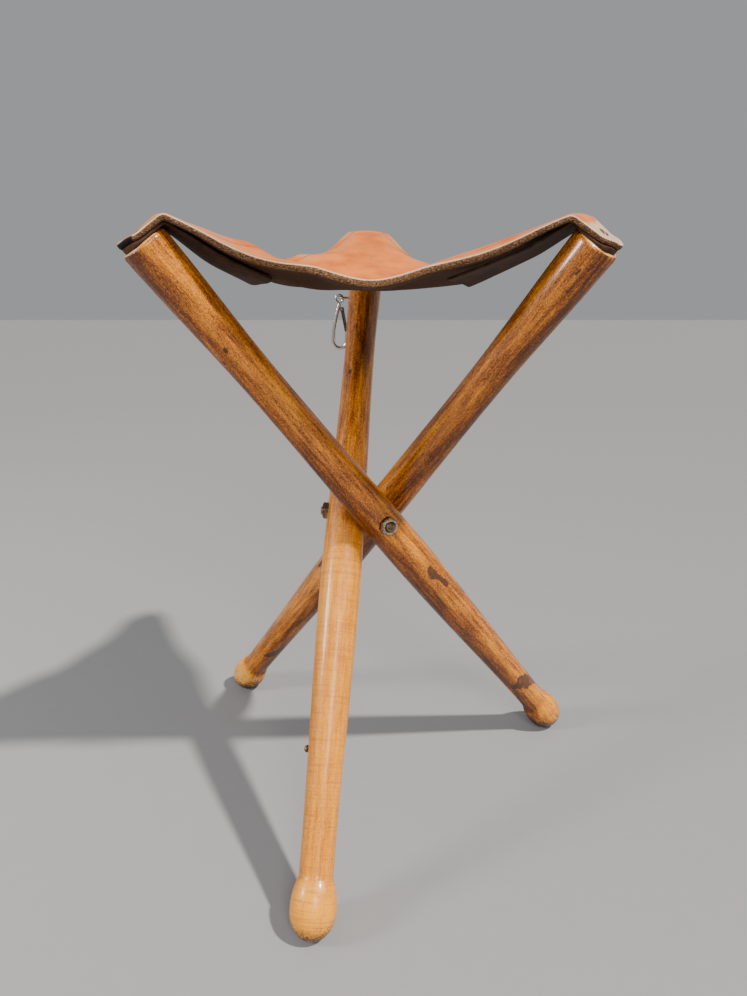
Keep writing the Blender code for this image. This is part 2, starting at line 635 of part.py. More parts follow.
def build_hook(holder, place, finishes):
    """Snap hook with its gate, gate pin and gate spring."""
    steel = finishes["nickel"]
    swing = frame("hook_swing", holder, place)
    drop = HOOK_RING - HOOK_RING_WIRE - EYE_WIRE - FIT
    path = hook_path()
    radii = [HOOK_WIRE] * len(path)
    hook = piece("snap_hook", tube(path, radii, 12), swing, steel, 50)
    ring = ring_path(HOOK_RING, 20, Vector((1, 0, 0)), Vector((0, 0, 1)), Vector((0, 0, -drop)))
    combine(hook, helper("hook_ring", tube(ring, [HOOK_RING_WIRE] * 20, 10, True), swing), "UNION")
    pin_at = Vector((-PIN_ACROSS, 0, -PIN_DOWN))
    half = LUG_THICKNESS / 2
    lug = rod(LUG_RADIUS, -half, half, 20)
    combine(hook, helper("hook_lug", lug, swing, Matrix.Translation(pin_at) @ along_y()), "UNION")
    reach = PIN_ACROSS + HOOK_WIRE
    web = block((reach, LUG_THICKNESS * 0.98, WEB_HEIGHT), (reach / 2 - PIN_ACROSS, 0, -PIN_DOWN + WEB_RAISE))
    combine(hook, helper("hook_web", web, swing), "UNION")
    hole = rod(PIN_RADIUS + FIT, -4 * half, 4 * half, 16)
    pin_place = Matrix.Translation(pin_at) @ along_y()
    pin_hole = helper("pin_hole", hole, swing, pin_place)
    combine(hook, pin_hole, "DIFFERENCE")
    outer = GATE_THICKNESS / 2 + FIT
    head = outer + PIN_HEAD_HEIGHT
    outline = [(0, -head), (PIN_HEAD, -head), (PIN_HEAD, -outer), (PIN_RADIUS, -outer)]
    outline += [(PIN_RADIUS, outer), (PIN_HEAD, outer), (PIN_HEAD, head), (0, head)]
    piece("gate_pin", lathe(outline, 16), swing, finishes["steel"], place=pin_place)
    lean = Matrix.Translation(pin_at) @ Matrix.Rotation(GATE_LEAN, 4, "Y")
    turn = frame("gate_turn", swing, lean)
    gate = piece("snap_gate", gate_solid(), turn, steel, 40)
    slot_size = (4 * GATE_WIDTH, LUG_THICKNESS + 2 * FIT, 4 * LUG_RADIUS)
    slot = block(slot_size, (0, 0, 2 * LUG_RADIUS - GATE_SLOT))
    combine(gate, helper("gate_slot", slot, turn), "DIFFERENCE")
    bore = rod(SPRING_BORE, -GATE_SLOT - SPRING_LENGTH - 2 * FIT, 0, 16)
    combine(gate, helper("spring_bore", bore, turn), "DIFFERENCE")
    wide_hole = rod(PIN_RADIUS + FIT, -GATE_THICKNESS, GATE_THICKNESS, 16)
    combine(gate, helper("gate_pin_hole", wide_hole, turn, along_y()), "DIFFERENCE")
    coil = []
    steps = SPRING_TURNS * 10
    for i in range(steps + 1):
        angle = TURN * i / 10
        drop_to = -GATE_SLOT - FIT - SPRING_WIRE - SPRING_LENGTH * 0.95 * i / steps
        coil.append(Vector((SPRING_COIL * math.cos(angle), SPRING_COIL * math.sin(angle), drop_to)))
    piece("gate_spring", tube(coil, [SPRING_WIRE] * len(coil), 5), turn, finishes["steel"], 80)


def gate_solid():
    """Gate bar hanging from its pin axis, round at the pin and square at the nose."""
    half = GATE_WIDTH / 2
    round_end = 0.95 * LUG_RADIUS
    outline = [Vector((-half, 0, -GATE_END)), Vector((half, 0, -GATE_END)), Vector((half, 0, -GATE_SLOT))]
    for i in range(9):
        angle = math.pi * i / 8
        outline.append(Vector((round_end * math.cos(angle), 0, round_end * math.sin(angle))))
    outline.append(Vector((-half, 0, -GATE_SLOT)))
    bm = bmesh.new()
    side = Vector((0, GATE_THICKNESS / 2, 0))
    near = [bm.verts.new(point - side) for point in outline]
    far = [bm.verts.new(point + side) for point in outline]
    bm.faces.new(near)
    bm.faces.new(far[::-1])
    for i in range(len(outline)):
        j = (i + 1) % len(outline)
        bm.faces.new((near[i], near[j], far[j], far[i]))
    return bm


def build_stud(holder, leg, steel):
    """Round-headed stud for a strap, low on the front leg."""
    surface = leg_radius(-STUD_DOWN)
    place = Matrix.Translation((0, 0, -STUD_DOWN)) @ along_x()
    outline = [(0, surface - STUD_DEPTH), (STUD_SHANK, surface - STUD_DEPTH), (STUD_SHANK, surface + FIT)]
    for i in range(6):
        angle = math.pi / 2 * i / 5
        radius = STUD_HEAD * math.cos(angle) if i < 5 else 0
        outline.append((radius, surface + 1.3 * FIT + STUD_HEAD * math.sin(angle)))
    piece("strap_stud", lathe(outline, 16), holder, steel, 60, place)
    hole = rod(STUD_SHANK + FIT, surface - STUD_DEPTH - FIT, 2 * surface, 12)
    combine(leg, helper("stud_hole", hole, holder, place), "DIFFERENCE")


def centre_on_origin(root):
    """Moves the stool so that the origin lies at the middle of the floor it covers."""
    bpy.context.view_layer.update()
    graph = bpy.context.evaluated_depsgraph_get()
    low = Vector((math.inf, math.inf))
    high = -low
    for obj in bpy.data.objects:
        if obj.type != "MESH" or obj.hide_render:
            continue
        evaluated = obj.evaluated_get(graph)
        for vertex in evaluated.to_mesh().vertices:
            point = evaluated.matrix_world @ vertex.co
            low = Vector((min(low.x, point.x), min(low.y, point.y)))
            high = Vector((max(high.x, point.x), max(high.y, point.y)))
        evaluated.to_mesh_clear()
    middle = (low + high) / 2
    root.location = (-middle.x, -middle.y, 0)


def main():
    """Builds every piece of the stool."""
    for obj in list(bpy.data.objects):
        bpy.data.objects.remove(obj, do_unlink=True)
    finishes = {
        "wood": material("varnished_beech", (0.42, 0.17, 0.045), 0.35),
        "tongue": material("tongue_leather", (0.09, 0.05, 0.04), 0.6),
        "steel": material("dull_steel", (0.35, 0.34, 0.33), 0.4, 1.0),
        "nickel": material("nickel_plate", (0.6, 0.59, 0.57), 0.25, 1.0),
    }
    seat_finish = material("seat_leather", (0.62, 0.23, 0.08), 0.5)
    root = frame("stool", None, Matrix.Identity(4))
    form = SeatForm()
    build_bolt(root, finishes["steel"])
    seat = piece("seat", seat_solid(form), root, seat_finish, 60)
    for stance in STANCES:
        holder, leg = build_leg(stance, root, form, seat, finishes)
        if stance.name == "front":
            place = build_screw_eye(holder, leg, finishes["steel"])
            build_hook(holder, place, finishes)
            build_stud(holder, leg, finishes["steel"])
    centre_on_origin(root)


main()
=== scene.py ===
"""Looks of a folding three-legged stool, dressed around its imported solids."""

import json
import logging
import math
from dataclasses import dataclass
from enum import Enum
from functools import cached_property

import bmesh
import bpy
import numpy as np
from mathutils import Matrix, Vector, noise


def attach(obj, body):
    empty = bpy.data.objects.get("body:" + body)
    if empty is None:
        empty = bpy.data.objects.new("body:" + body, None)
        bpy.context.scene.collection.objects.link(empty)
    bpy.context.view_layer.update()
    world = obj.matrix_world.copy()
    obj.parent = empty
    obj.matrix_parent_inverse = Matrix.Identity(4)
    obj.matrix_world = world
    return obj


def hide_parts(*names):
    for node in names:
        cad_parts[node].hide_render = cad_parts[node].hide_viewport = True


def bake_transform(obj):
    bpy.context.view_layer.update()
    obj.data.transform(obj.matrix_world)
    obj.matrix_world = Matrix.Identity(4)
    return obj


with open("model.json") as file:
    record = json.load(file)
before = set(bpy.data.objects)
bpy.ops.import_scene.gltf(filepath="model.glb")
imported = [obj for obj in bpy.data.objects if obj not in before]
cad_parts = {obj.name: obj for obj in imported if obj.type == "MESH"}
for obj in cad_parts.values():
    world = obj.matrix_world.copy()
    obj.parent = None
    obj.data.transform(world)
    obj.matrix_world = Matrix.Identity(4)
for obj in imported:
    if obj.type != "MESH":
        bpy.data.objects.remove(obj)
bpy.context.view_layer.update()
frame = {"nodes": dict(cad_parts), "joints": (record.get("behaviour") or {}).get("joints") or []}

LOG = logging.getLogger("stool")
MM = 0.001
TURN = 2 * math.pi
QUARTER = math.pi / 2
SIN_60 = math.sqrt(0.75)
UP = Vector((0, 0, 1))
STILL = Matrix.Identity(4)
TINY = 1e-6

Piece = bpy.types.Object
Material = bpy.types.Material
Socket = bpy.types.NodeSocket
Array = np.ndarray
Reals = np.ndarray | float
Point = tuple[float, float, float]
Colour = tuple[float, float, float]
Span = tuple[float, float]
Outline = list[tuple[float, float]]


class Side(Enum):
    """The legs, by where the foot stands."""

    RIGHT = "right"
    LEFT = "left"
    FRONT = "front"

    @property
    def joint(self) -> str:
        """Name of the joint that folds this leg."""
        return self.value + "_fold"

    @property
    def body(self) -> str:
        """Name of the body that this leg is."""
        return self.value + "_leg"


@dataclass(frozen=True)
class Stance:
    """How one leg stands when the stool is open."""

    side: Side
    pivot: Vector
    arm: Vector
    axis: Vector
    splay: float = math.radians(38.1)

    @classmethod
    def read(cls, side: Side, joints: list[dict]) -> "Stance":
        """Takes a leg's place from the joint that folds it.

        Args:
            side: The leg.
            joints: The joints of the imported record.

        Returns:
            The leg's stance.
        """
        joint = next(j for j in joints if j["name"] == side.joint)
        arm = -Vector(joint["axis"]).normalized()
        swing = Vector((-arm.y, arm.x, 0))
        axis = UP * math.cos(cls.splay) - swing * math.sin(cls.splay)
        return cls(side, Vector(joint["pos_m"]), arm, axis)

    def matrix(self) -> Matrix:
        """Frame on the bolt arm: X along the arm, Z up the leg."""
        rows = Matrix((self.arm, self.axis.cross(self.arm), self.axis)).transposed()
        return Matrix.Translation(self.pivot) @ rows.to_4x4()

    def arm_matrix(self) -> Matrix:
        """Frame on the bolt arm with Z along the arm."""
        turn = self.arm.to_track_quat("Z", "Y").to_matrix().to_4x4()
        return Matrix.Translation(self.pivot) @ turn


STANCES = [Stance.read(side, frame["joints"]) for side in Side]
MIDDLE = sum((s.pivot for s in STANCES), Vector()) / len(STANCES)


def ease(value: Reals) -> Reals:
    """Smooth step from 0 to 1."""
    t = np.clip(value, 0, 1)
    return t * t * (3 - 2 * t)


def deselect() -> None:
    """Leaves edit mode and selects nothing."""
    if bpy.context.mode != "OBJECT":
        bpy.ops.object.mode_set(mode="OBJECT")
    bpy.ops.object.select_all(action="DESELECT")


def choose(obj: Piece) -> None:
    """Makes one object the only one selected, and active."""
    deselect()
    obj.select_set(True)
    bpy.context.view_layer.objects.active = obj


def edit() -> None:
    """Enters edit mode with all of the active piece selected."""
    bpy.ops.object.mode_set(mode="EDIT")
    bpy.ops.mesh.select_all(action="SELECT")


def weld() -> None:
    """Merges doubled points of the edited piece, faces it outward and leaves edit mode."""
    bpy.ops.mesh.select_all(action="SELECT")
    bpy.ops.mesh.remove_doubles(threshold=TINY)
    bpy.ops.mesh.normals_make_consistent(inside=False)
    bpy.ops.object.mode_set(mode="OBJECT")


def take(name: str) -> Piece:
    """Names the object that an operator has just added.

    Args:
        name: The piece's name.

    Returns:
        The active object.
    """
    obj = bpy.context.object
    obj.name = name
    obj.data.name = name
    return obj


def finish_with(obj: Piece, kind: str, **settings: object) -> None:
    """Adds a modifier to a piece and applies it.

    Args:
        obj: The piece.
        kind: The modifier's type.
        settings: Its settings.
    """
    choose(obj)
    modifier = obj.modifiers.new(kind.lower(), kind)
    for key, value in settings.items():
        setattr(modifier, key, value)
    bpy.ops.object.modifier_apply(modifier=modifier.name)


def combine(obj: Piece, other: Piece, operation: str) -> None:
    """Joins a shape to a piece, or cuts it out of it, and removes the shape.

    Args:
        obj: The piece.
        other: The shape.
        operation: UNION, DIFFERENCE or INTERSECT.
    """
    finish_with(obj, "BOOLEAN", object=other, operation=operation, solver="EXACT")
    bpy.data.objects.remove(other, do_unlink=True)


def settle(obj: Piece, place: Matrix = STILL) -> None:
    """Puts a piece in its place, with the place in its mesh."""
    obj.data.transform(place @ obj.matrix_basis)
    obj.matrix_basis = STILL


def shade(obj: Piece, degrees: float) -> None:
    """Shades a piece smooth below an angle."""
    choose(obj)
    bpy.ops.object.shade_smooth_by_angle(angle=math.radians(degrees))


def turned(name: str, outline: Outline, sides: int) -> Piece:
    """Turns an outline about Z, as on a lathe.

    Args:
        name: The piece's name.
        outline: (radius, height) points that begin and end on the axis.
        sides: Steps round the axis.

    Returns:
        The closed turned piece.
    """
    deselect()
    bpy.ops.mesh.primitive_circle_add(vertices=3, radius=MM)
    obj = take(name)
    edit()
    bpy.ops.mesh.merge(type="CENTER")
    bpy.ops.transform.translate(value=(outline[0][0], 0, outline[0][1]))
    for before, after in zip(outline, outline[1:]):
        step = (after[0] - before[0], 0, after[1] - before[1])
        bpy.ops.mesh.extrude_vertices_move(TRANSFORM_OT_translate={"value": step})
    bpy.ops.mesh.select_all(action="SELECT")
    bpy.ops.mesh.spin(steps=sides, angle=TURN, center=(0, 0, 0), axis=(0, 0, 1))
    weld()
    return obj


def rod(name: str, radius: float, half: float, sides: int) -> Piece:
    """Turned rod along Z, half its length to each side."""
    return turned(name, [(0.0, -half), (radius, -half), (radius, half), (0.0, half)], sides)


def block(name: str, size: Point, place: Matrix) -> Piece:
    """Plain block, in its place.

    Args:
        name: The piece's name.
        size: Its lengths along X, Y and Z.
        place: Where it lies.

    Returns:
        The block.
    """
    deselect()
    bpy.ops.mesh.primitive_cube_add(size=1)
    obj = take(name)
    settle(obj, place @ Matrix.Diagonal((*size, 1)))
    return obj


def wire_ring(name: str, radius: float, wire: float, steps: int, place: Matrix) -> Piece:
    """Ring of round wire, in its place.

    Args:
        name: The piece's name.
        radius: The ring's radius.
        wire: The wire's radius.
        steps: Steps round the ring.
        place: Where it lies.

    Returns:
        The ring.
    """
    deselect()
    bpy.ops.mesh.primitive_torus_add(
        major_radius=radius, minor_radius=wire, major_segments=steps, minor_segments=20
    )
    obj = take(name)
    settle(obj, place)
    return obj


def bent_bar(name: str, path: list[Vector], radius: float) -> Piece:
    """Round bar along a line of points.

    Args:
        name: The piece's name.
        path: The points.
        radius: The bar's radius.

    Returns:
        The bar as a mesh with closed ends.
    """
    line = bpy.data.curves.new(name, "CURVE")
    line.dimensions = "3D"
    line.bevel_depth = radius
    line.bevel_resolution = 6
    line.use_fill_caps = True
    spline = line.splines.new("POLY")
    spline.points.add(len(path) - 1)
    for point, spot in zip(spline.points, path):
        point.co = (*spot, 1)
    obj = bpy.data.objects.new(name, line)
    bpy.context.scene.collection.objects.link(obj)
    choose(obj)
    bpy.ops.object.convert(target="MESH")
    edit()
    weld()
    return take(name)


def paint(obj: Piece, name: str, values: Array) -> None:
    """Stores a number, or three, on each point of a piece.

    Args:
        obj: The piece.
        name: The attribute's name.
        values: One row for each point.
    """
    vector = values.ndim == 2
    made = obj.data.attributes.new(name, "FLOAT_VECTOR" if vector else "FLOAT", "POINT")
    made.data.foreach_set("vector" if vector else "value", values.astype(np.float32).ravel())


def points_of(obj: Piece) -> Array:
    """Places of a piece's points."""
    co = np.empty(len(obj.data.vertices) * 3)
    obj.data.vertices.foreach_get("co", co)
    return co.reshape(-1, 3)


def rough(points: Array, scale: float, seed: float) -> Array:
    """Smooth random numbers from -1 to 1, the same each time.

    Args:
        points: Where to read them.
        scale: How fast they change, per metre.
        seed: Another value gives another pattern.

    Returns:
        One number for each point.
    """
    shift = Vector((seed, 2 * seed, 3 * seed))
    return np.array([noise.noise(Vector(p) * scale + shift) for p in points])


def hand_over(piece: Piece, finish: Material, node: str, body: str = "") -> None:
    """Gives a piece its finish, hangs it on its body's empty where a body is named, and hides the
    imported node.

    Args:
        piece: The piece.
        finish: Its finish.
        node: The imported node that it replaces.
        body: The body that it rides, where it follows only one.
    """
    piece.data.materials.clear()
    piece.data.materials.append(finish)
    if body:
        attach(piece, body)
    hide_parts(node)


@dataclass(frozen=True)
class Pattern:
    """Random pattern: changes per metre, squeeze along Z, detail, bite and squeeze across Z."""

    scale: float
    along: float = 1.0
    detail: float = 3.0
    bite: float = 0.55
    across: float = 1.0


class Nodes:
    """The nodes of one material."""

    def __init__(self, name: str) -> None:
        """Starts a material with its Principled shader."""
        self.material = bpy.data.materials.new(name)
        self.material.use_nodes = True
        self.tree = self.material.node_tree
        self.shader = self.tree.nodes["Principled BSDF"]

    def put(self, socket: Socket, value: object) -> None:
        """Links a socket to an output, or sets it to a number, colour or vector."""
        if isinstance(value, Socket):
            self.tree.links.new(value, socket)
        elif isinstance(value, tuple) and socket.type == "RGBA":
            socket.default_value = (*value, 1)
        else:
            socket.default_value = value

    def add(self, kind: str, output: str | int, values: dict, **settings: object) -> Socket:
        """Adds one node.

        Args:
            kind: The node's type, after ShaderNode.
            output: The output that is wanted.
            values: What goes into its inputs.
            settings: Its own settings.

        Returns:
            The output.
        """
        node = self.tree.nodes.new("ShaderNode" + kind)
        for key, value in settings.items():
            setattr(node, key, value)
        for key, value in values.items():
            self.put(node.inputs[key], value)
        return node.outputs[output]

    def place(self) -> Socket:
        """Place on the piece, in metres."""
        return self.add("TexCoord", "Object", {})

    def attribute(self, name: str, vector: bool = False) -> Socket:
        """A value that is stored on the piece's points."""
        return self.add("Attribute", "Vector" if vector else "Fac", {}, attribute_name=name)

    def noise(self, vector: Socket, pattern: Pattern) -> Socket:
        """Random pattern at a place, from 0 to 1."""
        squeeze = (pattern.across, pattern.across, pattern.along)
        if squeeze != (1, 1, 1):
            vector = self.add("Mapping", "Vector", {"Vector": vector, "Scale": squeeze})
        values = {"Scale": pattern.scale, "Detail": pattern.detail, "Roughness": pattern.bite}
        return self.add("TexNoise", "Fac", {"Vector": vector, **values})

    def cells(self, vector: Socket, scale: float) -> Socket:
        """Distance to the nearest of scattered points, as in pores."""
        return self.add("TexVoronoi", "Distance", {"Vector": vector, "Scale": scale})

    def step(self, value: object, span: Span) -> Socket:
        """Smooth step from 0 to 1 over a span, which may run downwards."""
        low, high = sorted(span)
        down = float(span[0] > span[1])
        values = {"From Min": low, "From Max": high, "To Min": down, "To Max": 1 - down}
        settings = {"interpolation_type": "SMOOTHSTEP"}
        return self.add("MapRange", "Result", {"Value": value, **values}, **settings)

    def maths(self, operation: str, one: object, two: object = 0.0) -> Socket:
        """One sum of two values."""
        return self.add("Math", "Value", {0: one, 1: two}, operation=operation)

    def times(self, one: object, two: object) -> Socket:
        """Product of two values."""
        return self.maths("MULTIPLY", one, two)

    def plus(self, one: object, two: object) -> Socket:
        """Sum of two values."""
        return self.maths("ADD", one, two)

    def mix(self, share: object, one: object, two: object) -> Socket:
        """Mixes two colours by a share."""
        return self.add("Mix", 2, {0: share, 6: one, 7: two}, data_type="RGBA")

    def between(self, share: object, span: Span) -> Socket:
        """A number between two, by a share."""
        values = {"Value": share, "To Min": span[0], "To Max": span[1]}
        return self.add("MapRange", "Result", values)

    def ramp(self, value: object, *stops: tuple[float, Colour]) -> Socket:
        """Colour that changes with a value through stops."""
        node = self.tree.nodes.new("ShaderNodeValToRGB")
        elements = node.color_ramp.elements
        while len(elements) < len(stops):
            elements.new(0.5)
        for element, (spot, colour) in zip(elements, stops):
            element.position = spot
            element.color = (*colour, 1)
        self.put(node.inputs["Fac"], value)
        return node.outputs["Color"]

    def relief(self, *layers: tuple[Socket, float]) -> Socket:
        """Lays reliefs over each other.

        Args:
            layers: A height and its depth in metres for each.

        Returns:
            The normal.
        """
        normal = None
        for height, deep in layers:
            values = {"Strength": 1.0, "Distance": deep, "Height": height}
            if normal is not None:
                values["Normal"] = normal
            normal = self.add("Bump", "Normal", values)
        return normal

    def done(self, **sockets: object) -> Material:
        """Sets the shader's sockets, named with underscores.

        Args:
            sockets: Values or outputs for the shader.

        Returns:
            The finished material.
        """
        for key, value in sockets.items():
            self.put(self.shader.inputs[key.replace("_", " ")], value)
        return self.material


@dataclass(frozen=True)
class WoodFinish:
    """Old varnish over turned beech: golden speckle, streaks along the leg and rings round it."""

    gold: Colour = (0.93, 0.36, 0.012)
    light: Colour = (0.62, 0.195, 0.007)
    middle: Colour = (0.33, 0.085, 0.003)
    deep: Colour = (0.075, 0.016, 0.0015)
    fleck: Colour = (0.030, 0.008, 0.002)
    stain: Colour = (0.050, 0.016, 0.006)
    bare: Colour = (0.84, 0.46, 0.15)
    # Near-black for scuffs on the feet and for painted contact shade where the feet meet the floor.
    scuff_and_contact_shade: Colour = (0.020, 0.011, 0.007)
    broad: Pattern = Pattern(62, 0.22, 4, 0.6)
    streak: Pattern = Pattern(330, 0.09, 5, 0.65)
    speck: Pattern = Pattern(2200, 0.30, 3, 0.7)
    flecks: Pattern = Pattern(760, 0.30, 1.5)
    rings: Pattern = Pattern(950, 1, 2, across=0.03)
    patches: Pattern = Pattern(170, 1, 5, 0.65)
    scuffs: Pattern = Pattern(620, 1, 5, 0.75)
    waves: Pattern = Pattern(90)
    broad_share: float = 0.65
    streak_share: float = 0.95
    speck_share: float = 1.35
    tone_middle: float = 1.475
    fleck_span: Span = (0.66, 0.74)
    ring_span: Span = (0.50, 0.66)
    bare_span: Span = (1.05, 1.25)
    scuff_span: Span = (0.94, 1.16)
    stain_span: Span = (1.06, 1.24)
    stain_start: Span = (0.02, 0.15)
    dull_span: Span = (0.48, 0.70)
    roughness: Span = (0.33, 0.6)

    def make(self) -> Material:
        """Builds the material."""
        n = Nodes("varnished_beech_old")
        grain = n.attribute("grain", vector=True)
        speck = n.noise(grain, self.speck)
        flecks = n.noise(grain, self.flecks)
        rings = n.noise(grain, self.rings)
        patch = n.noise(grain, self.patches)
        broad = n.times(n.noise(grain, self.broad), self.broad_share)
        tone = n.plus(broad, n.times(n.noise(grain, self.streak), self.streak_share))
        tone = n.plus(tone, n.times(speck, self.speck_share))
        tone = n.times(n.maths("SUBTRACT", tone, self.tone_middle), n.attribute("lively"))
        # The stored tone carries the legs' painted light and shade as well as their own tone.
        tone = n.plus(n.plus(tone, 0.5), n.attribute("tone"))
        stops = ((0.22, self.deep), (0.42, self.middle), (0.60, self.light), (0.82, self.gold))
        colour = n.ramp(tone, *stops)
        flecked = n.times(n.step(flecks, self.fleck_span), n.attribute("flecky"))
        colour = n.mix(flecked, colour, self.fleck)
        ringed = n.times(n.step(rings, self.ring_span), n.attribute("ringed"))
        colour = n.mix(ringed, colour, self.middle)
        bare = n.step(n.plus(n.attribute("raw"), patch), self.bare_span)
        colour = n.mix(n.times(bare, 0.85), colour, self.bare)
        # Scuffs, with painted contact shade darkest near the floor.
        scuffed_and_shaded = n.plus(n.attribute("scuff_and_contact_shade"), n.noise(grain, self.scuffs))
        scuffed_and_shaded = n.step(scuffed_and_shaded, self.scuff_span)
        colour = n.mix(n.times(scuffed_and_shaded, 0.9), colour, self.scuff_and_contact_shade)
        stain = n.attribute("stain")
        stained = n.step(n.plus(n.times(stain, 0.8), n.times(patch, 1.6)), self.stain_span)
        stained = n.times(stained, n.step(stain, self.stain_start))
        colour = n.mix(n.times(stained, 0.92), colour, self.stain)
        dull = n.maths("MAXIMUM", scuffed_and_shaded, n.times(n.step(patch, self.dull_span), 0.6))
        waves = n.noise(grain, self.waves)
        relief = ((flecks, -0.06 * MM), (speck, 0.12 * MM), (rings, 0.03 * MM), (waves, 0.3 * MM))
        return n.done(
            Base_Color=colour,
            Roughness=n.between(dull, self.roughness),
            Normal=n.relief(*relief),
            Coat_Weight=n.attribute("gloss"),
            Coat_Roughness=0.13,
            Specular_IOR_Level=0.35,
        )


@dataclass(frozen=True)
class SeatFinish:
    """Tan saddle leather: grained top, pale worn edge, fibrous cut and dark flesh side."""

    light: Colour = (0.80, 0.208, 0.030)
    tan: Colour = (0.54, 0.130, 0.020)
    rubbed: Colour = (0.50, 0.215, 0.105)
    crease: Colour = (0.16, 0.036, 0.009)
    cream: Colour = (0.80, 0.58, 0.39)
    fibre: Colour = (0.19, 0.085, 0.032)
    burnt: Colour = (0.012, 0.0055, 0.007)
    flesh: Colour = (0.036, 0.015, 0.008)
    inside: Colour = (0.085, 0.038, 0.019)
    crease_in: float = 7 * MM
    clouds: Pattern = Pattern(38, 1, 5)
    grain: Pattern = Pattern(420, 1, 4, 0.6)
    strand: Pattern = Pattern(800, 2.6, 5, 0.75)
    dents: Pattern = Pattern(1100)
    pore_scale: float = 1500
    mottle_span: Span = (0.56, 0.74)
    rub_edge: Span = (30 * MM, 2 * MM)
    rub_span: Span = (0.42, 0.62)
    crease_span: Span = (1.1 * MM, 0.3 * MM)
    worn_span: Span = (0.95, 1.30)
    fray: Span = (-0.16, 0.16)
    cream_span: Span = (0.10, 0.22)
    flesh_span: Span = (0.72, 1.00)
    burnish_span: Span = (0.95, 1.15)
    hairy_edge: Span = (6 * MM, 1 * MM)
    hairy_span: Span = (0.46, 0.62)
    cut_span: Span = (0.01, 0.14)
    under_span: Span = (0.93, 0.99)
    matt_span: Span = (0.05, 0.3)
    roughness: Span = (0.42, 0.9)

    def make(self) -> Material:
        """Builds the material."""
        n = Nodes("saddle_leather_tan")
        place = n.place()
        edge = n.attribute("edge")
        rim = n.attribute("rim")
        cloud = n.noise(place, self.clouds)
        fine = n.noise(place, self.grain)
        strands = n.noise(place, self.strand)
        top = n.ramp(cloud, (0.36, self.tan), (0.64, self.light))
        top = n.mix(n.times(n.step(fine, self.mottle_span), 0.35), top, self.crease)
        rub = n.times(n.step(edge, self.rub_edge), n.step(cloud, self.rub_span))
        top = n.mix(n.times(rub, 0.75), top, self.rubbed)
        off = n.maths("ABSOLUTE", n.maths("SUBTRACT", edge, self.crease_in))
        line = n.step(off, self.crease_span)
        top = n.mix(n.times(line, 0.4), top, self.crease)
        bare = n.ramp(strands, (0.40, self.flesh), (0.54, self.fibre), (0.78, self.cream))
        # The stored worn value pales the top towards cream: wear at the rim, and over the flaps
        # wear together with a painted highlight.
        worn = n.step(n.plus(n.attribute("worn"), fine), self.worn_span)
        top = n.mix(worn, top, n.mix(0.65, bare, self.cream))
        ragged = n.plus(rim, n.between(strands, self.fray))
        cut = n.mix(n.step(ragged, self.cream_span), self.cream, bare)
        cut = n.mix(n.step(ragged, self.flesh_span), cut, self.flesh)
        burnish = n.step(n.plus(n.attribute("burnish"), fine), self.burnish_span)
        cut = n.mix(burnish, cut, self.burnt)
        hairy = n.times(n.step(edge, self.hairy_edge), n.step(strands, self.hairy_span))
        under = n.mix(hairy, n.mix(fine, self.flesh, self.inside), self.fibre)
        colour = n.mix(n.step(rim, self.cut_span), top, cut)
        colour = n.mix(n.step(rim, self.under_span), colour, under)
        on_rim = n.step(rim, self.matt_span)
        matt = n.maths("MAXIMUM", on_rim, n.times(fine, 0.5))
        relief = (
            (n.noise(place, self.dents), 0.06 * MM),
            (n.cells(place, self.pore_scale), 0.05 * MM),
            (line, -0.35 * MM),
            (cloud, 0.6 * MM),
            (n.times(strands, on_rim), 0.6 * MM),
        )
        return n.done(
            Base_Color=colour,
            Roughness=n.between(matt, self.roughness),
            Normal=n.relief(*relief),
            Specular_IOR_Level=0.22,
        )


@dataclass(frozen=True)
class TongueFinish:
    """Dark leather of the second layer."""

    dark: Colour = (0.030, 0.014, 0.008)
    light: Colour = (0.085, 0.039, 0.022)
    edge: Colour = (0.07, 0.033, 0.018)
    clouds: Pattern = Pattern(120, 1, 5, 0.65)
    grain: Pattern = Pattern(1300)
    roughness: Span = (0.55, 0.85)

    def make(self) -> Material:
        """Builds the material."""
        n = Nodes("dark_leather")
        place = n.place()
        cloud = n.noise(place, self.clouds)
        colour = n.ramp(cloud, (0.34, self.dark), (0.68, self.light))
        rim = n.attribute("rim")
        side = n.times(n.step(rim, (0.05, 0.3)), n.step(rim, (0.95, 0.7)))
        colour = n.mix(n.times(side, n.step(cloud, (0.4, 0.6))), colour, self.edge)
        relief = n.relief((n.noise(place, self.grain), 0.06 * MM), (cloud, 0.3 * MM))
        roughness = n.between(cloud, self.roughness)
        return n.done(
            Base_Color=colour, Roughness=roughness, Normal=relief, Specular_IOR_Level=0.15
        )


@dataclass(frozen=True)
class MetalFinish:
    """Old metal: worn bright with tarnish in patches."""

    name: str
    bright: Colour
    tarnish: Colour
    share: float
    roughness: float
    duller: float = 0.3
    patches: Pattern = Pattern(700, 1, 5, 0.65)
    scratches: Pattern = Pattern(4000, 0.2, 2)

    def make(self) -> Material:
        """Builds the material."""
        n = Nodes(self.name)
        place = n.place()
        patch = n.noise(place, self.patches)
        spoilt = n.step(patch, (0.62 - self.share * 0.3, 0.78 - self.share * 0.3))
        scratch = n.noise(place, self.scratches)
        return n.done(
            Base_Color=n.mix(spoilt, self.bright, self.tarnish),
            Roughness=n.between(spoilt, (self.roughness, self.roughness + self.duller)),
            Normal=n.relief((patch, 0.08 * MM), (scratch, 0.01 * MM)),
            Metallic=1.0,
        )


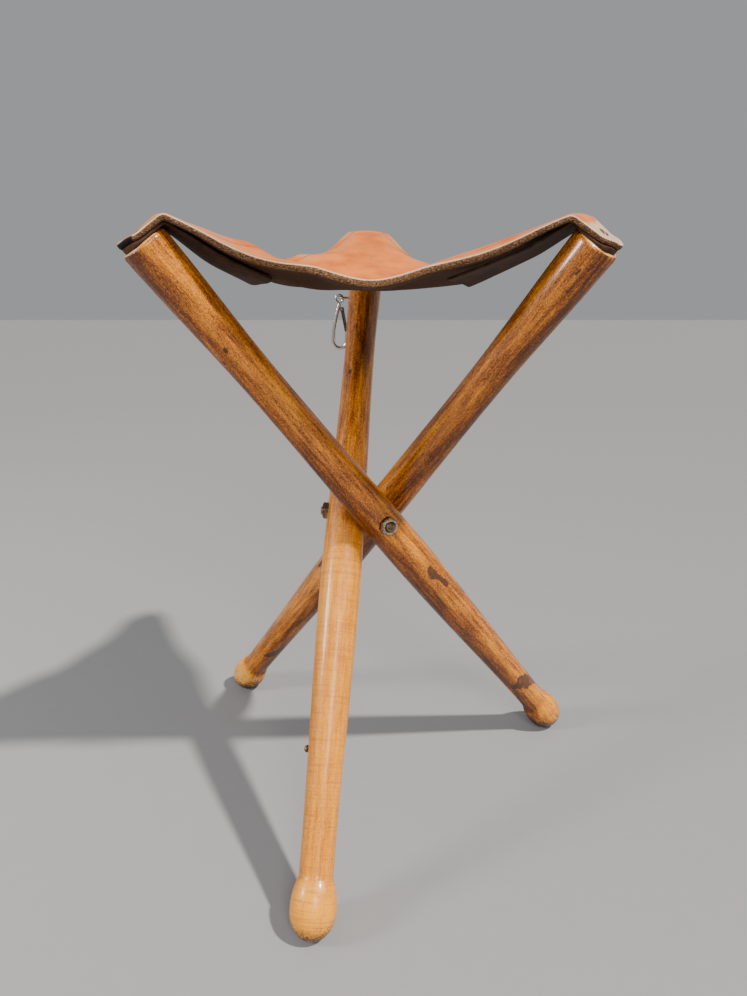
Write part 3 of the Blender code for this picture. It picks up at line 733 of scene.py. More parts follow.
@dataclass(frozen=True)
class FloorFinish:
    """Plain pale floor."""

    colour: Colour = (0.275, 0.272, 0.268)
    mottle: Pattern = Pattern(60, 1, 4)
    darker: float = 0.95

    def make(self) -> Material:
        """Builds the material."""
        n = Nodes("plain_floor")
        dark = tuple(self.darker * c for c in self.colour)
        speck = n.noise(n.place(), self.mottle)
        return n.done(Base_Color=n.mix(speck, dark, self.colour), Roughness=0.6)


@dataclass(frozen=True)
class Mark:
    """Old damage on a leg: a stain, and a dent where it has a depth; turn in degrees."""

    side: Side
    along: float
    turn: float
    long: float
    wide: float
    depth: float = 0.0
    slant: float = 0.0


MARKS = (
    Mark(Side.RIGHT, -64 * MM, 9.5, 7.5 * MM, 5.0 * MM, 0.7 * MM),
    Mark(Side.RIGHT, -75 * MM, 15.5, 18 * MM, 3.4 * MM, 0.6 * MM, -0.144),
    Mark(Side.RIGHT, -245 * MM, 43, 24 * MM, 5.0 * MM, 0.5 * MM, -0.5),
    Mark(Side.RIGHT, -244 * MM, 24, 7 * MM, 9.0 * MM, 0.3 * MM),
    Mark(Side.RIGHT, -237 * MM, -14, 6.5 * MM, 10 * MM, 0.2 * MM),
    Mark(Side.LEFT, -232 * MM, -121, 15 * MM, 6.5 * MM, 0.2 * MM, 0.5),
    Mark(Side.RIGHT, 187 * MM, -28, 3 * MM, 2.0 * MM, 0.3 * MM),
    Mark(Side.RIGHT, 181 * MM, -62, 3 * MM, 1.6 * MM, 0.3 * MM),
    Mark(Side.FRONT, 129 * MM, 68, 4 * MM, 2.2 * MM, 0.3 * MM),
    Mark(Side.FRONT, 176 * MM, 80, 2 * MM, 1.6 * MM, 0.2 * MM),
    Mark(Side.LEFT, 252 * MM, -155, 3.4 * MM, 0.9 * MM, 0.3 * MM, 0.2),
    Mark(Side.LEFT, 239 * MM, -146, 1.3 * MM, 1.0 * MM, 0.2 * MM),
    Mark(Side.LEFT, -90 * MM, 150, 9 * MM, 2.2 * MM, 0.3 * MM, 0.1),
    Mark(Side.FRONT, 60 * MM, -100, 8 * MM, 1.8 * MM, 0.3 * MM, 0.2),
)


@dataclass(frozen=True)
class LegTones:
    """How parts of a leg differ from plain varnish, painted light and shade among them; spans are a
    start and its change low down.
    """

    whole: float = 0.03
    left: float = -0.02
    right: float = -0.04
    left_bulb: float = 0.24
    # Painted light: the front leg's lower part, where the key light falls, is painted lighter; its
    # smoother, less flecked wood there is its own.
    lower: float = 0.16
    # Painted shade: the front leg is painted darker up under the seat, where the seat's shadow
    # falls.
    upper: float = -0.10
    bulb: float = 0.10
    # Darker towards the top end of each leg, under the leather.
    top_darkening: float = -0.05
    # Painted shade: the side of a leg that faces down is painted darker in tone.
    under: float = -0.24
    gloss: float = 0.55
    under_dull: float = 0.85
    lower_dull: float = 0.45
    lively: Span = (1.1, -0.5)
    flecky: Span = (0.8, -0.6)
    ringed: Span = (0.10, 0.25)
    raw: float = 0.50
    left_raw: float = 0.62
    # Scuffs together with painted contact shade, low on the foot near the floor.
    floor_scuff_and_shade: float = 0.52
    bulb_scuff: float = 0.22


@dataclass(frozen=True)
class TurnedLeg:
    """A turned wooden leg with a bulb foot, bored for its bolt arm."""

    above: float = 271 * MM
    below: float = 298 * MM
    top_radius: float = 16.2 * MM
    top_round: float = 3 * MM
    waist_radius: float = 13.7 * MM
    waist_up: float = 150 * MM
    belly_radius: float = 16.6 * MM
    belly_down: float = 60 * MM
    ankle_radius: float = 12.5 * MM
    bulb_radius: float = 16.9 * MM
    bulb_upper: float = 29.5 * MM
    bulb_lower: float = 20.5 * MM
    spot_depth: float = 13 * MM
    spot_radius: float = 7.8 * MM
    hole_radius: float = 4.3 * MM
    waviness: float = 0.10 * MM
    unevenness: float = 0.05 * MM
    tones: LegTones = LegTones()
    sides: int = 96
    shaft_steps: int = 170

    def neck_up(self) -> float:
        """Height of the ankle over the widest part of the bulb."""
        return self.bulb_upper * math.sqrt(1 - (self.ankle_radius / self.bulb_radius) ** 2)

    def radius(self, along: float) -> float:
        """Radius of the shaft at a distance up its axis from the bolt arm."""
        if along > self.waist_up:
            share = ease((self.above - along) / (self.above - self.waist_up))
            return self.top_radius + (self.waist_radius - self.top_radius) * share
        if along > -self.belly_down:
            share = ease((self.waist_up - along) / (self.waist_up + self.belly_down))
            return self.waist_radius + (self.belly_radius - self.waist_radius) * share
        ankle = self.below - self.neck_up()
        share = ease((-self.belly_down - along) / (ankle - self.belly_down))
        return self.belly_radius + (self.ankle_radius - self.belly_radius) * share

    def outline(self) -> Outline:
        """Turned outline from the top end to the tip of the foot."""
        points = [(0.0, self.above), (0.5 * self.top_radius, self.above)]
        for step in range(9):
            angle = QUARTER * step / 8
            inset = self.top_round * (1 - math.sin(angle))
            drop = self.top_round * (1 - math.cos(angle))
            points.append((self.top_radius - inset, self.above - drop))
        top = self.above - self.top_round
        neck = self.neck_up() - self.below
        for step in range(1, self.shaft_steps + 1):
            along = top + (neck - top) * step / self.shaft_steps
            points.append((self.radius(along), along))
        start = math.asin(self.neck_up() / self.bulb_upper)
        for step in range(1, 17):
            angle = start * (1 - step / 16)
            high = self.bulb_upper * math.sin(angle)
            points.append((self.bulb_radius * math.cos(angle), high - self.below))
        for step in range(1, 25):
            angle = QUARTER * step / 24
            radius = self.bulb_radius * math.cos(angle) if step < 24 else 0.0
            points.append((radius, -self.below - self.bulb_lower * math.sin(angle)))
        return points

    def marked(self, side: Side, local: Array) -> tuple[Array, Array]:
        """Stain and dent of a leg's marks.

        Args:
            side: The leg.
            local: Points in the leg's own frame.

        Returns:
            The stain from 0 to 1 and the dent in metres, for each point.
        """
        stain = np.zeros(len(local))
        dent = np.zeros(len(local))
        turn = np.arctan2(local[:, 1], local[:, 0])
        reach = np.hypot(local[:, 0], local[:, 1])
        for mark in MARKS:
            if mark.side != side:
                continue
            up = local[:, 2] - mark.along
            bend = (turn - math.radians(mark.turn) + math.pi) % TURN - math.pi
            across = bend * reach - mark.slant * up
            inside = 1.25 - np.hypot(up / mark.long, across / mark.wide)
            stain = np.maximum(stain, np.clip(inside, 0, 0.75))
            dent = np.maximum(dent, mark.depth * ease(inside))
        return stain, dent

    def build(self, blank: Piece, stance: Stance, finish: Material) -> Piece:
        """Makes one leg from the turned blank.

        Args:
            blank: The turned leg, along Z.
            stance: Where the leg stands.
            finish: Its wood.

        Returns:
            The finished leg.
        """
        leg = bpy.data.objects.new("turned_leg_" + stance.side.value, blank.data.copy())
        bpy.context.scene.collection.objects.link(leg)
        seed = 11.0 * (1 + list(Side).index(stance.side))
        local = points_of(leg)
        reach = np.maximum(np.hypot(local[:, 0], local[:, 1]), TINY)
        swell = self.waviness * rough(local * (1, 1, 0.35), 90, seed)
        swell = swell + self.unevenness * rough(local, 420, seed)
        swell = (swell - self.marked(stance.side, local)[1]) / reach
        local[:, :2] *= (1 + np.where(reach > 2 * MM, swell, 0))[:, None]
        leg.data.vertices.foreach_set("co", local.ravel())
        self._bore(leg)
        settle(leg, stance.matrix())
        choose(leg)
        edit()
        floor = {"plane_co": (0, 0, 0), "plane_no": (0, 0, -1)}
        bpy.ops.mesh.bisect(**floor, use_fill=True, clear_outer=True)
        bpy.ops.object.mode_set(mode="OBJECT")
        self._paint(leg, stance, seed)
        shade(leg, 40)
        hand_over(leg, finish, "leg_" + stance.side.value, stance.side.body)
        return leg

    def _bore(self, leg: Piece) -> None:
        """Cuts the hole for the bolt arm and the seat for its nut."""
        deep = 2 * self.belly_radius
        hole, spot = self.hole_radius, self.spot_radius
        outline = [(0.0, -deep), (hole, -deep), (hole, self.spot_depth)]
        outline += [(spot, self.spot_depth), (spot, deep), (0.0, deep)]
        cutter = turned("bore_cutter", outline, 48)
        settle(cutter, Matrix.Rotation(QUARTER, 4, "Y"))
        combine(leg, cutter, "DIFFERENCE")

    def _paint(self, leg: Piece, stance: Stance, seed: float) -> None:
        """Stores what the wood's finish reads.

        Args:
            leg: The leg, in its place.
            stance: Where it stands.
            seed: The leg's own number, which shifts its grain.
        """
        world = points_of(leg)
        back = np.array(stance.matrix().inverted())
        local = world @ back[:3, :3].T + back[:3, 3]
        reach = np.maximum(np.hypot(local[:, 0], local[:, 1]), TINY)
        front, left, right = (
            float(stance.side is side) for side in (Side.FRONT, Side.LEFT, Side.RIGHT)
        )
        high = local[:, 2]
        facing = (local[:, :2] @ np.array(stance.matrix())[2, :2]) / reach
        # Painted shade: the side of the leg that faces down is painted darker.
        under = ease((-0.10 - facing) / 0.5)
        # The front leg's lower part: lighter in tone as painted light where the key light falls,
        # and smoother, less flecked wood of its own.
        lower = front * ease((20 * MM - high) / (60 * MM))
        # Painted shade: the front leg's upper part, in the seat's shadow, is painted darker.
        upper = front * ease((high - 40 * MM) / (160 * MM))
        # Darker towards the top end, under the leather.
        top_darkening = ease((high - self.above + 60 * MM) / (60 * MM))
        bulb = ease((self.neck_up() - self.below - high) / (6 * MM))
        ends = ease((high - self.above + 1.5 * MM) / (1.2 * MM))
        # Darker towards the floor: scuffs together with painted contact shade under the foot.
        worn = ease((32 * MM - world[:, 2]) / (32 * MM))
        t = self.tones
        whole = t.whole + t.left * left + t.right * right + t.left_bulb * left * bulb
        tone = t.lower * lower + t.upper * upper + t.bulb * bulb + t.top_darkening * top_darkening + t.under * under
        raw = t.left_raw if left else t.raw
        stores = {
            "grain": local + np.array((seed, 0.3 * seed, 0.7 * seed)),
            "stain": self.marked(stance.side, local)[0],
            "tone": tone + whole,
            "lively": t.lively[0] + t.lively[1] * lower,
            "gloss": t.gloss * (1 - t.under_dull * under) * (1 - t.lower_dull * lower),
            "flecky": t.flecky[0] + t.flecky[1] * lower,
            "ringed": t.ringed[0] + t.ringed[1] * lower,
            "raw": np.maximum(ends, raw * bulb * (1 - lower)),
            "scuff_and_contact_shade": t.floor_scuff_and_shade * worn + t.bulb_scuff * bulb,
        }
        for name, values in stores.items():
            paint(leg, name, values)


@dataclass(frozen=True)
class SeatForm:
    """A leg's third of the sat-in leather: a dish that rises to a corner, bent over the leg end."""

    stance: Stance
    thickness: float = 4.4 * MM
    swell: float = 1.7 * MM
    swell_start: float = 12 * MM
    swell_run: float = 25 * MM
    tongue_thickness: float = 1.4 * MM
    gap: float = 0.3 * MM
    corner_width: float = 14.3 * MM
    hollow: float = 7.1 * MM
    sag: float = 45.3 * MM
    dish: float = 10 * MM
    climb: float = 1.0
    crest_power: float = 0.87
    near_rise: float = 4 * MM
    far_left_rise: float = 16.8 * MM
    far_left_shoulder: float = 23 * MM
    far_right_rise: float = 4 * MM
    right_droop: float = 7.2 * MM
    right_far_droop: float = -2.6 * MM
    left_droop: float = 4.4 * MM
    front_droop: float = 7.5 * MM
    right_belly: float = 13 * MM
    left_belly: float = 2 * MM
    belly_run: float = 40 * MM
    belly_start: float = 75 * MM
    bend_setback: float = 13.3 * MM
    bend_before: float = 17 * MM
    bend_after: float = 10 * MM
    droop_start: float = 0.46
    droop_run: float = 0.4
    droop_aside: float = 0.2
    tip_slant: float = 0.35
    slope_step: float = 0.2 * MM
    softness: float = 4 * MM
    flap_reach: float = 16 * MM
    flap_round: float = 11 * MM
    uneven: float = 0.45 * MM
    calm_start: float = 105 * MM
    calm_run: float = 30 * MM
    lift: float = 2.2 * MM
    lift_start: float = 4.6 * MM
    lift_run: float = 9 * MM

    @property
    def side(self) -> Side:
        """The leg."""
        return self.stance.side

    @property
    def stack(self) -> float:
        """Leg end to the top of the flap."""
        return 2 * self.gap + self.tongue_thickness + self.thickness

    @cached_property
    def top(self) -> Vector:
        """Leg end's middle, from the stool's axis."""
        away = Vector((MIDDLE.x, MIDDLE.y, 0))
        return self.stance.pivot + TurnedLeg.above * self.stance.axis - away

    @cached_property
    def corner_out(self) -> float:
        """Distance of the corner from the stool's axis."""
        return self.top.xy.length

    @cached_property
    def corner_turn(self) -> float:
        """Compass direction of the corner."""
        return math.atan2(self.top.y, self.top.x)

    @property
    def forward(self) -> Array:
        """Level direction to the corner."""
        return np.array((math.cos(self.corner_turn), math.sin(self.corner_turn), 0))

    @property
    def across(self) -> Array:
        """Level direction across the corner."""
        return np.array((-math.sin(self.corner_turn), math.cos(self.corner_turn), 0))

    @property
    def bend_out(self) -> float:
        """Distance of the bend from the stool's axis."""
        return self.corner_out - self.bend_setback

    @property
    def flap_end(self) -> float:
        """Distance of the flap's end from the stool's axis."""
        return self.corner_out + self.flap_reach

    @cached_property
    def side_run(self) -> float:
        """Length from a side's middle to its end over the leg."""
        return self.corner_out * SIN_60 - self.corner_width / 2

    @cached_property
    def side_out(self) -> float:
        """Distance of a side's middle from the stool's axis."""
        return self.corner_out / 2 + self.corner_width * SIN_60 - self.hollow

    def around_bend(self) -> list[float]:
        """Where the close rows over the bend begin and end."""
        return [self.bend_out - self.bend_before, self.bend_out + self.bend_after]

    def edge_out(self, along: Reals) -> Reals:
        """Distance of a side from the stool's axis, at a length from its middle."""
        return self.side_out + self.hollow * (along / self.side_run) ** 2

    def side_gap(self, ahead: Reals, aside: Array, hand: int) -> Array:
        """Distance of points from the side to one hand of the corner."""
        beside = ahead / 2 + hand * aside * SIN_60
        return self.edge_out(ahead * SIN_60 - hand * aside / 2) - beside

    def half_width(self, out: float) -> float:
        """Half width of the leather across the corner at a distance from the stool's axis."""
        start = self.flap_end - self.flap_round
        share = min(max((out - start) / self.flap_round, 0), 1)
        rounded = math.sqrt(1 - share * share)
        if out <= self.side_out / 2:
            return out * math.sqrt(3) * rounded
        low, high = 0.0, 2 * self.side_run
        for _ in range(40):
            middle = (low + high) / 2
            if self.edge_out(middle) / 2 + middle * SIN_60 < out:
                low = middle
            else:
                high = middle
        return (self.edge_out(low) * SIN_60 - low / 2) * rounded

    def thick(self, ahead: float) -> float:
        """Thickness of the leather at one row: soft and swollen away from the leg's end."""
        share = ease((self.bend_out - self.swell_start - ahead) / self.swell_run)
        return self.thickness + self.swell * float(share)

    def flap_height(self, x: Reals, y: Reals) -> Reals:
        """Height of the flap's top face, which lies along the leg end."""
        axis = self.stance.axis
        away = (x - self.top.x) * axis.x + (y - self.top.y) * axis.y
        return self.top.z + (self.stack - away) / axis.z

    def side_rises(self) -> Span:
        """Heights over the seat's middle of the sides to the corner's two hands."""
        return {
            Side.RIGHT: (self.near_rise, self.far_left_rise),
            Side.LEFT: (self.far_right_rise, self.near_rise),
            Side.FRONT: (self.far_left_rise, self.far_right_rise),
        }[self.side]

    def droops(self) -> Span:
        """How far the leather's edges droop near the corner, to its two hands."""
        return {
            Side.RIGHT: (self.right_droop, self.right_far_droop),
            Side.LEFT: (self.left_droop, self.left_droop),
            Side.FRONT: (self.front_droop, self.front_droop),
        }[self.side]

    def belly(self, ahead: Array, aside: Array) -> Array:
        """How far the leather bellies down, away from its sides and the middle."""
        most = {Side.RIGHT: self.right_belly, Side.LEFT: self.left_belly}.get(self.side, 0.0)
        deep = most * ease(np.hypot(ahead, aside) / self.belly_start)
        for hand in (1, -1):
            deep = deep * ease(self.side_gap(ahead, aside, hand) / self.belly_run)
        return deep

    def lifted(self, ahead: Reals) -> Reals:
        """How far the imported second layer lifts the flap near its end."""
        return self.lift * ease((ahead - self.corner_out - self.lift_start) / self.lift_run)

    def height(self, x: Array, y: Array) -> Array:
        """Height of the leather's top face.

        Args:
            x: Places from the stool's axis.
            y: Places from the stool's axis.

        Returns:
            The heights.
        """
        bend = self.bend_out
        edge = self.side_out
        out = np.hypot(x, y)
        turn = (np.arctan2(y, x) - self.corner_turn + math.pi) % TURN - math.pi
        crest = (1 - np.sin(1.5 * turn) ** 2) ** self.crest_power
        ahead = out * np.cos(turn)
        aside = out * np.sin(turn)
        level = self.flap_height(*(bend * self.forward[:2]))
        lowest = self.dish**self.climb
        rise = np.hypot(out, self.dish) ** self.climb - lowest
        rise = rise / (math.hypot(bend, self.dish) ** self.climb - lowest)
        height = level - self.sag * (1 - rise * crest)
        side_rise = np.where(turn > 0, *self.side_rises())
        height = height + side_rise * (out / edge) ** 2 * (1 - crest)
        if self.side is Side.RIGHT:
            shoulder = np.where(turn < 0, self.far_left_shoulder, 0.0)
            lump = np.sin(3 * turn) ** 2 * np.sin(1.5 * turn) ** 6
            height = height + shoulder * (out / edge) ** 2 * lump
        near = ease((ahead - self.droop_start * bend) / (self.droop_run * bend))
        droop = np.where(turn > 0, *self.droops())
        height = height - droop * (aside / (self.droop_aside * bend)) ** 2 * near
        height = height - self.belly(ahead, aside) * ease(crest)
        flap = self.flap_height(x, y) + self.lifted(ahead)
        meet = np.maximum(self.softness - np.abs(height - flap), 0) / self.softness
        return np.minimum(height, flap) - meet * meet * self.softness / 4

    def lay(self, ahead: float, aside: Array) -> tuple[Array, Array]:
        """Points of the leather's top face across one row, and its normals there.

        Args:
            ahead: The row's distance towards the corner.
            aside: Distances to each side.

        Returns:
            Points and normals.
        """
        x, y = (ahead * f + aside * a for f, a in zip(self.forward[:2], self.across[:2]))
        step = self.slope_step
        slope_x = (self.height(x + step, y) - self.height(x - step, y)) / (2 * step)
        slope_y = (self.height(x, y + step) - self.height(x, y - step)) / (2 * step)
        normals = np.stack([-slope_x, -slope_y, np.ones_like(x)], 1)
        normals /= np.linalg.norm(normals, axis=1)[:, None]
        points = np.stack([x + MIDDLE.x, y + MIDDLE.y, self.height(x, y)], 1)
        level = points * (1, 1, 0)
        wave = self.uneven * (rough(level, 28, 4.0) + 0.3 * rough(level, 85, 7.0))
        calm = 1 - ease((ahead - self.calm_start) / self.calm_run)
        points += normals * (wave * calm)[:, None]
        return points, normals

    def edge_distance(self, ahead: float, aside: Array) -> Array:
        """Distance from the rim of the leather, for points across one row."""
        tip = self.flap_end - ahead - np.abs(aside) * self.tip_slant
        gaps = [self.side_gap(ahead, aside, hand) for hand in (1, -1)]
        return np.maximum(np.minimum(np.minimum(*gaps), tip), 0)

    def divide(self, stops: list[float], counts: tuple[int, ...], round_steps: int) -> list[float]:
        """Rows between stops, and over the rounded end that follows the last stop.

        Args:
            stops: Distances from the stool's axis.
            counts: How many rows follow each stop but the last.
            round_steps: Steps over the rounded end.

        Returns:
            The rows' distances from the stool's axis.
        """
        rows = []
        for low, high, count in zip(stops, stops[1:], counts):
            rows += list(np.linspace(low, high, count, endpoint=False))
        end = stops[-1] + self.flap_round
        for i in range(round_steps + 1):
            rows.append(end - self.flap_round * (1 - math.sin(QUARTER * i / round_steps)))
        return [float(row) for row in rows]

    def flat_area(self, rows: list[float], halves: list[float]) -> float:
        """Area of a cut from how it lies: firm leather bends but hardly stretches.

        Args:
            rows: Distances from the stool's axis.
            halves: Half widths of the cut there.

        Returns:
            The area in square metres.
        """
        strips = []
        for row, half in zip(rows, halves):
            aside = np.linspace(-half, half, 41)
            strips.append(np.trapz(1 / self.lay(row, aside)[1][:, 2], aside))
        return float(np.trapz(strips, rows))


class LeatherSheet:
    """Closed skin of a sheet of leather, made of loops round it, one for each row."""

    rim_steps = 7
    blend_from = 45.2 * MM
    blend_to = 150 * MM

    def __init__(self, name: str, capped: bool) -> None:
        """Starts an empty sheet.

        Args:
            name: The piece's name.
            capped: Whether its first row is an open end that needs closing.
        """
        self.name = name
        self.capped = capped
        self.loops: list[Array] = []
        self.layers: list[dict[str, Array]] = []

    def add_row(
        self,
        top: Array,
        bottom: Array,
        bulge: float,
        outward: tuple[Array, Array],
        layers: dict[str, Array],
    ) -> None:
        """Adds the loop round one row.

        Args:
            top: Points of the top face from one side to the other.
            bottom: Points of the bottom face, in the same order.
            bulge: How far the rim's middle stands out.
            outward: Directions out of the sheet at its first and last points.
            layers: Values stored on the row's points.
        """
        share = np.arange(1, self.rim_steps) / self.rim_steps
        rims = []
        for end, out in ((-1, outward[1]), (0, outward[0])):
            line = top[end] + (bottom[end] - top[end]) * share[:, None]
            ragged = 1 + 0.22 * rough(line, 520, 2.0) + 0.15 * rough(line, 1300, 5.0)
            line = line + out * (bulge * np.sin(math.pi * share) ** 0.7 * ragged)[:, None]
            rims.append(line)
        self.loops.append(np.concatenate([top, rims[0], bottom[::-1], rims[1][::-1]]))
        flat = np.zeros(len(top))
        row = {"rim": np.concatenate([flat, share, flat + 1, share[::-1]])}
        for key, values in layers.items():
            last, first = (np.full(len(share), values[end]) for end in (-1, 0))
            row[key] = np.concatenate([values, last, values[::-1], first])
        self.layers.append(row)

    def build(self) -> Piece:
        """Skins the loops.

        Returns:
            The sheet.
        """
        bm = bmesh.new()
        stores = {key: bm.verts.layers.float.new(key) for key in self.layers[0]}
        rings = []
        for loop, values in zip(self.loops, self.layers):
            ring = [bm.verts.new(point) for point in loop]
            for key, store in stores.items():
                for vert, value in zip(ring, values[key]):
                    vert[store] = float(value)
            rings.append(ring)
        size = len(rings[0])
        for one, two in zip(rings, rings[1:]):
            for i in range(size):
                j = (i + 1) % size
                bm.faces.new((one[i], one[j], two[j], two[i]))
        if self.capped:
            self._cap(bm, rings[0])
        bmesh.ops.remove_doubles(bm, verts=bm.verts, dist=2 * TINY)
        bmesh.ops.dissolve_degenerate(bm, edges=bm.edges, dist=0.1 * TINY)
        bmesh.ops.recalc_face_normals(bm, faces=bm.faces)
        mesh = bpy.data.meshes.new(self.name)
        bm.to_mesh(mesh)
        bm.free()
        obj = bpy.data.objects.new(self.name, mesh)
        bpy.context.scene.collection.objects.link(obj)
        shade(obj, 50)
        return obj

    def _cap(self, bm: bmesh.types.BMesh, ring: list[bmesh.types.BMVert]) -> None:
        """Closes the first row's open end."""
        columns = (len(ring) - 2 * (self.rim_steps - 1)) // 2
        far = columns + self.rim_steps - 1
        tops = ring[:columns]
        bottoms = ring[far : far + columns][::-1]
        for i in range(columns - 1):
            bm.faces.new((tops[i], tops[i + 1], bottoms[i + 1], bottoms[i]))
        bm.faces.new([tops[-1], *ring[columns:far], bottoms[-1]])
        bm.faces.new([bottoms[0], *ring[far + columns :], tops[0]])

    def hand_in(
        self, form: SeatForm, finish: Material, node: str
    ) -> Piece:
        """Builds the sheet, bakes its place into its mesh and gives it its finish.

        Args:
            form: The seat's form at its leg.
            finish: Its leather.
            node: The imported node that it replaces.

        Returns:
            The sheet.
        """
        piece = self.build()
        form.side.body
        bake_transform(piece)
        hand_over(piece, finish, node)
        rests_on = ["leg_" + form.side.value]
        return piece


@dataclass(frozen=True)
class SeatThird:
    """Third of the seat: they meet along the lines from the middle to the sides' middles."""

    form: SeatForm
    columns: int = 41
    rim_bulge: float = 0.9 * MM
    length_factor: float = 1.06

    def rows(self) -> list[float]:
        """Distances towards the corner at which the third is divided."""
        form = self.form
        stops = [0.0, form.side_out / 2, *form.around_bend()]
        return form.divide([*stops, form.flap_end - form.flap_round], (22, 44, 26, 5), 14)

    def outward(self, ahead: float, normal: Array, hand: int) -> Array:
        """Direction out of the leather's side at one row.

        Args:
            ahead: The row.
            normal: The leather's normal there.
            hand: 1 for one side, -1 for the other.

        Returns:
            A unit vector in the plane of the leather.
        """
        form = self.form
        step = 0.05 * MM
        end = form.flap_end
        low, high = max(min(ahead, end - step) - step, 0), min(ahead + step, end)
        slope = (form.half_width(high) - form.half_width(low)) / (high - low)
        out = -slope * form.forward + hand * form.across
        out -= normal * (out @ normal)
        return out / np.linalg.norm(out)

    def wear(self, ahead: float, aside: Array) -> dict[str, Array]:
        """What the leather's finish reads at points across one row.

        Args:
            ahead: The row.
            aside: Distances to each side.

        Returns:
            Values for each point, by name.
        """
        form = self.form
        edge = form.edge_distance(ahead, aside)
        flap = float(ease((ahead - form.bend_out - 2 * MM) / (10 * MM)))
        tip = float(ease((ahead - form.flap_end + 12 * MM) / (7 * MM)))
        # The top of the flap is paled towards cream, most on the left flap: wear together with a
        # painted highlight of the light on it.
        pale = (0.80 if form.side is Side.LEFT else 0.30) * flap
        dark = (0.8 if form.side is Side.RIGHT else 0.35) * tip
        return {
            "edge": edge,
            "worn": pale + (0.25 + 0.4 * flap) * ease(1 - edge / (2 * MM)),
            "burnish": np.full(len(aside), dark),
        }

    def build(self, finish: Material) -> Piece:
        """Builds the third.

        Args:
            finish: The seat's leather.

        Returns:
            The third.
        """
        form = self.form
        sheet = LeatherSheet("seat_leather_" + form.side.value, capped=False)
        spread = np.sin(QUARTER * np.linspace(-1, 1, self.columns))
        seam = form.side_out / 2
        rows = self.rows()
        halves = [form.half_width(row) for row in rows]
        for ahead, half in zip(rows, halves):
            bulge = min(self.rim_bulge * float(ease((ahead - seam) / (2 * MM))), 0.6 * half)
            aside = spread * (half - bulge)
            top, normals = form.lay(ahead, aside)
            bottom = top - form.thick(ahead) * normals
            out = (self.outward(ahead, normals[0], -1), self.outward(ahead, normals[-1], 1))
            sheet.add_row(top, bottom, bulge, out, self.wear(ahead, aside))
        flat = (2 * form.half_width(seam), self.length_factor * form.flap_end)
        area = form.flat_area(rows, halves)
        return sheet.hand_in(form, finish, "seat")


@dataclass(frozen=True)
class TongueEnd:
    """Half width of a tongue's inner end, and how far its two edges hang from the seat."""

    wide: float
    near: float
    far: float


TONGUE_ENDS = {
    Side.RIGHT: TongueEnd(21 * MM, 1.5 * MM, 6 * MM),
    Side.LEFT: TongueEnd(22 * MM, 5.5 * MM, 10.5 * MM),
    Side.FRONT: TongueEnd(24 * MM, 7 * MM, 7 * MM),
}


@dataclass(frozen=True)
class Tongue:
    """Second layer of leather under a corner, hanging a little away at its inner end."""

    form: SeatForm
    reach: float = 91.5 * MM
    uneven: float = 9 * MM
    short: float = 0.3 * MM
    clear: float = 0.08 * MM
    narrow: float = 14 * MM
    slack: float = 0.5
    held: float = 4 * MM
    columns: int = 25
    rim_bulge: float = 0.5 * MM
    corner_round: float = 2 * MM
    bend_allowance: float = 6 * MM

    @property
    def inner(self) -> TongueEnd:
        """The inner end."""
        return TONGUE_ENDS[self.form.side]

    @property
    def start(self) -> float:
        """Distance of the inner end from the stool's axis."""
        longer = {Side.LEFT: self.uneven, Side.RIGHT: -self.uneven}.get(self.form.side, 0.0)
        return self.form.corner_out - self.reach - longer

    @property
    def end(self) -> float:
        """Distance of the outer end from the stool's axis."""
        return self.form.flap_end - self.short

    def half_width(self, ahead: float) -> float:
        """Half width at a distance from the stool's axis."""
        form, wide = self.form, self.inner.wide
        share = min(max((ahead - self.start) / (form.bend_out - self.start), 0), 1)
        half = wide + (self.narrow - wide) * share
        rounded = min(max(ahead - self.end + form.flap_round, 0) / form.flap_round, 1)
        corner = min((ahead - self.start) / self.corner_round, 1)
        half -= self.corner_round * (1 - math.sqrt(max(1 - (1 - corner) ** 2, 0)))
        return half * math.sqrt(1 - rounded * rounded)

    def drop(self, ahead: float, aside: Array) -> Array:
        """How far the tongue hangs from the seat at points across one row."""
        inner = self.inner
        held = self.form.bend_out - self.held
        share = max((held - ahead) / (held - self.start), 0) ** self.slack
        nearer = aside / inner.wide if self.form.side is Side.RIGHT else -aside / inner.wide
        return share * ((inner.near + inner.far) / 2 + nearer * (inner.near - inner.far) / 2)

    def rows(self) -> list[float]:
        """Distances from the stool's axis at which the tongue is divided."""
        form = self.form
        turns = [1 - math.cos(QUARTER * i / 8) for i in range(8)]
        rows = [self.start + self.corner_round * turn for turn in turns]
        stops = [self.start + self.corner_round, *form.around_bend()]
        return rows + form.divide([*stops, self.end - form.flap_round], (22, 22, 4), 10)

    def build(self, finish: Material) -> Piece:
        """Builds the tongue.

        Args:
            finish: The dark leather.

        Returns:
            The tongue.
        """
        form = self.form
        sheet = LeatherSheet("tongue_leather_" + form.side.value, capped=True)
        across = form.across
        rows = self.rows()
        halves = [self.half_width(row) for row in rows]
        for ahead, half in zip(rows, halves):
            bulge = min(self.rim_bulge, 0.6 * half)
            aside = np.linspace(-1, 1, self.columns) * (half - bulge)
            face, normals = form.lay(ahead, aside)
            under = form.thick(ahead) + self.clear + self.drop(ahead, aside)
            top = face - under[:, None] * normals
            thick = form.tongue_thickness + 2 * (form.gap - self.clear)
            thick += form.stance.axis.z * float(form.lifted(ahead))
            bottom = top - thick * normals
            sheet.add_row(top, bottom, bulge, (-across, across), {"edge": np.abs(aside)})
        flat = (2 * self.inner.wide, form.flap_end - self.start + self.bend_allowance)
        area = form.flat_area(rows, halves)
        node = "tongue_" + form.side.value
        return sheet.hand_in(form, finish, node)


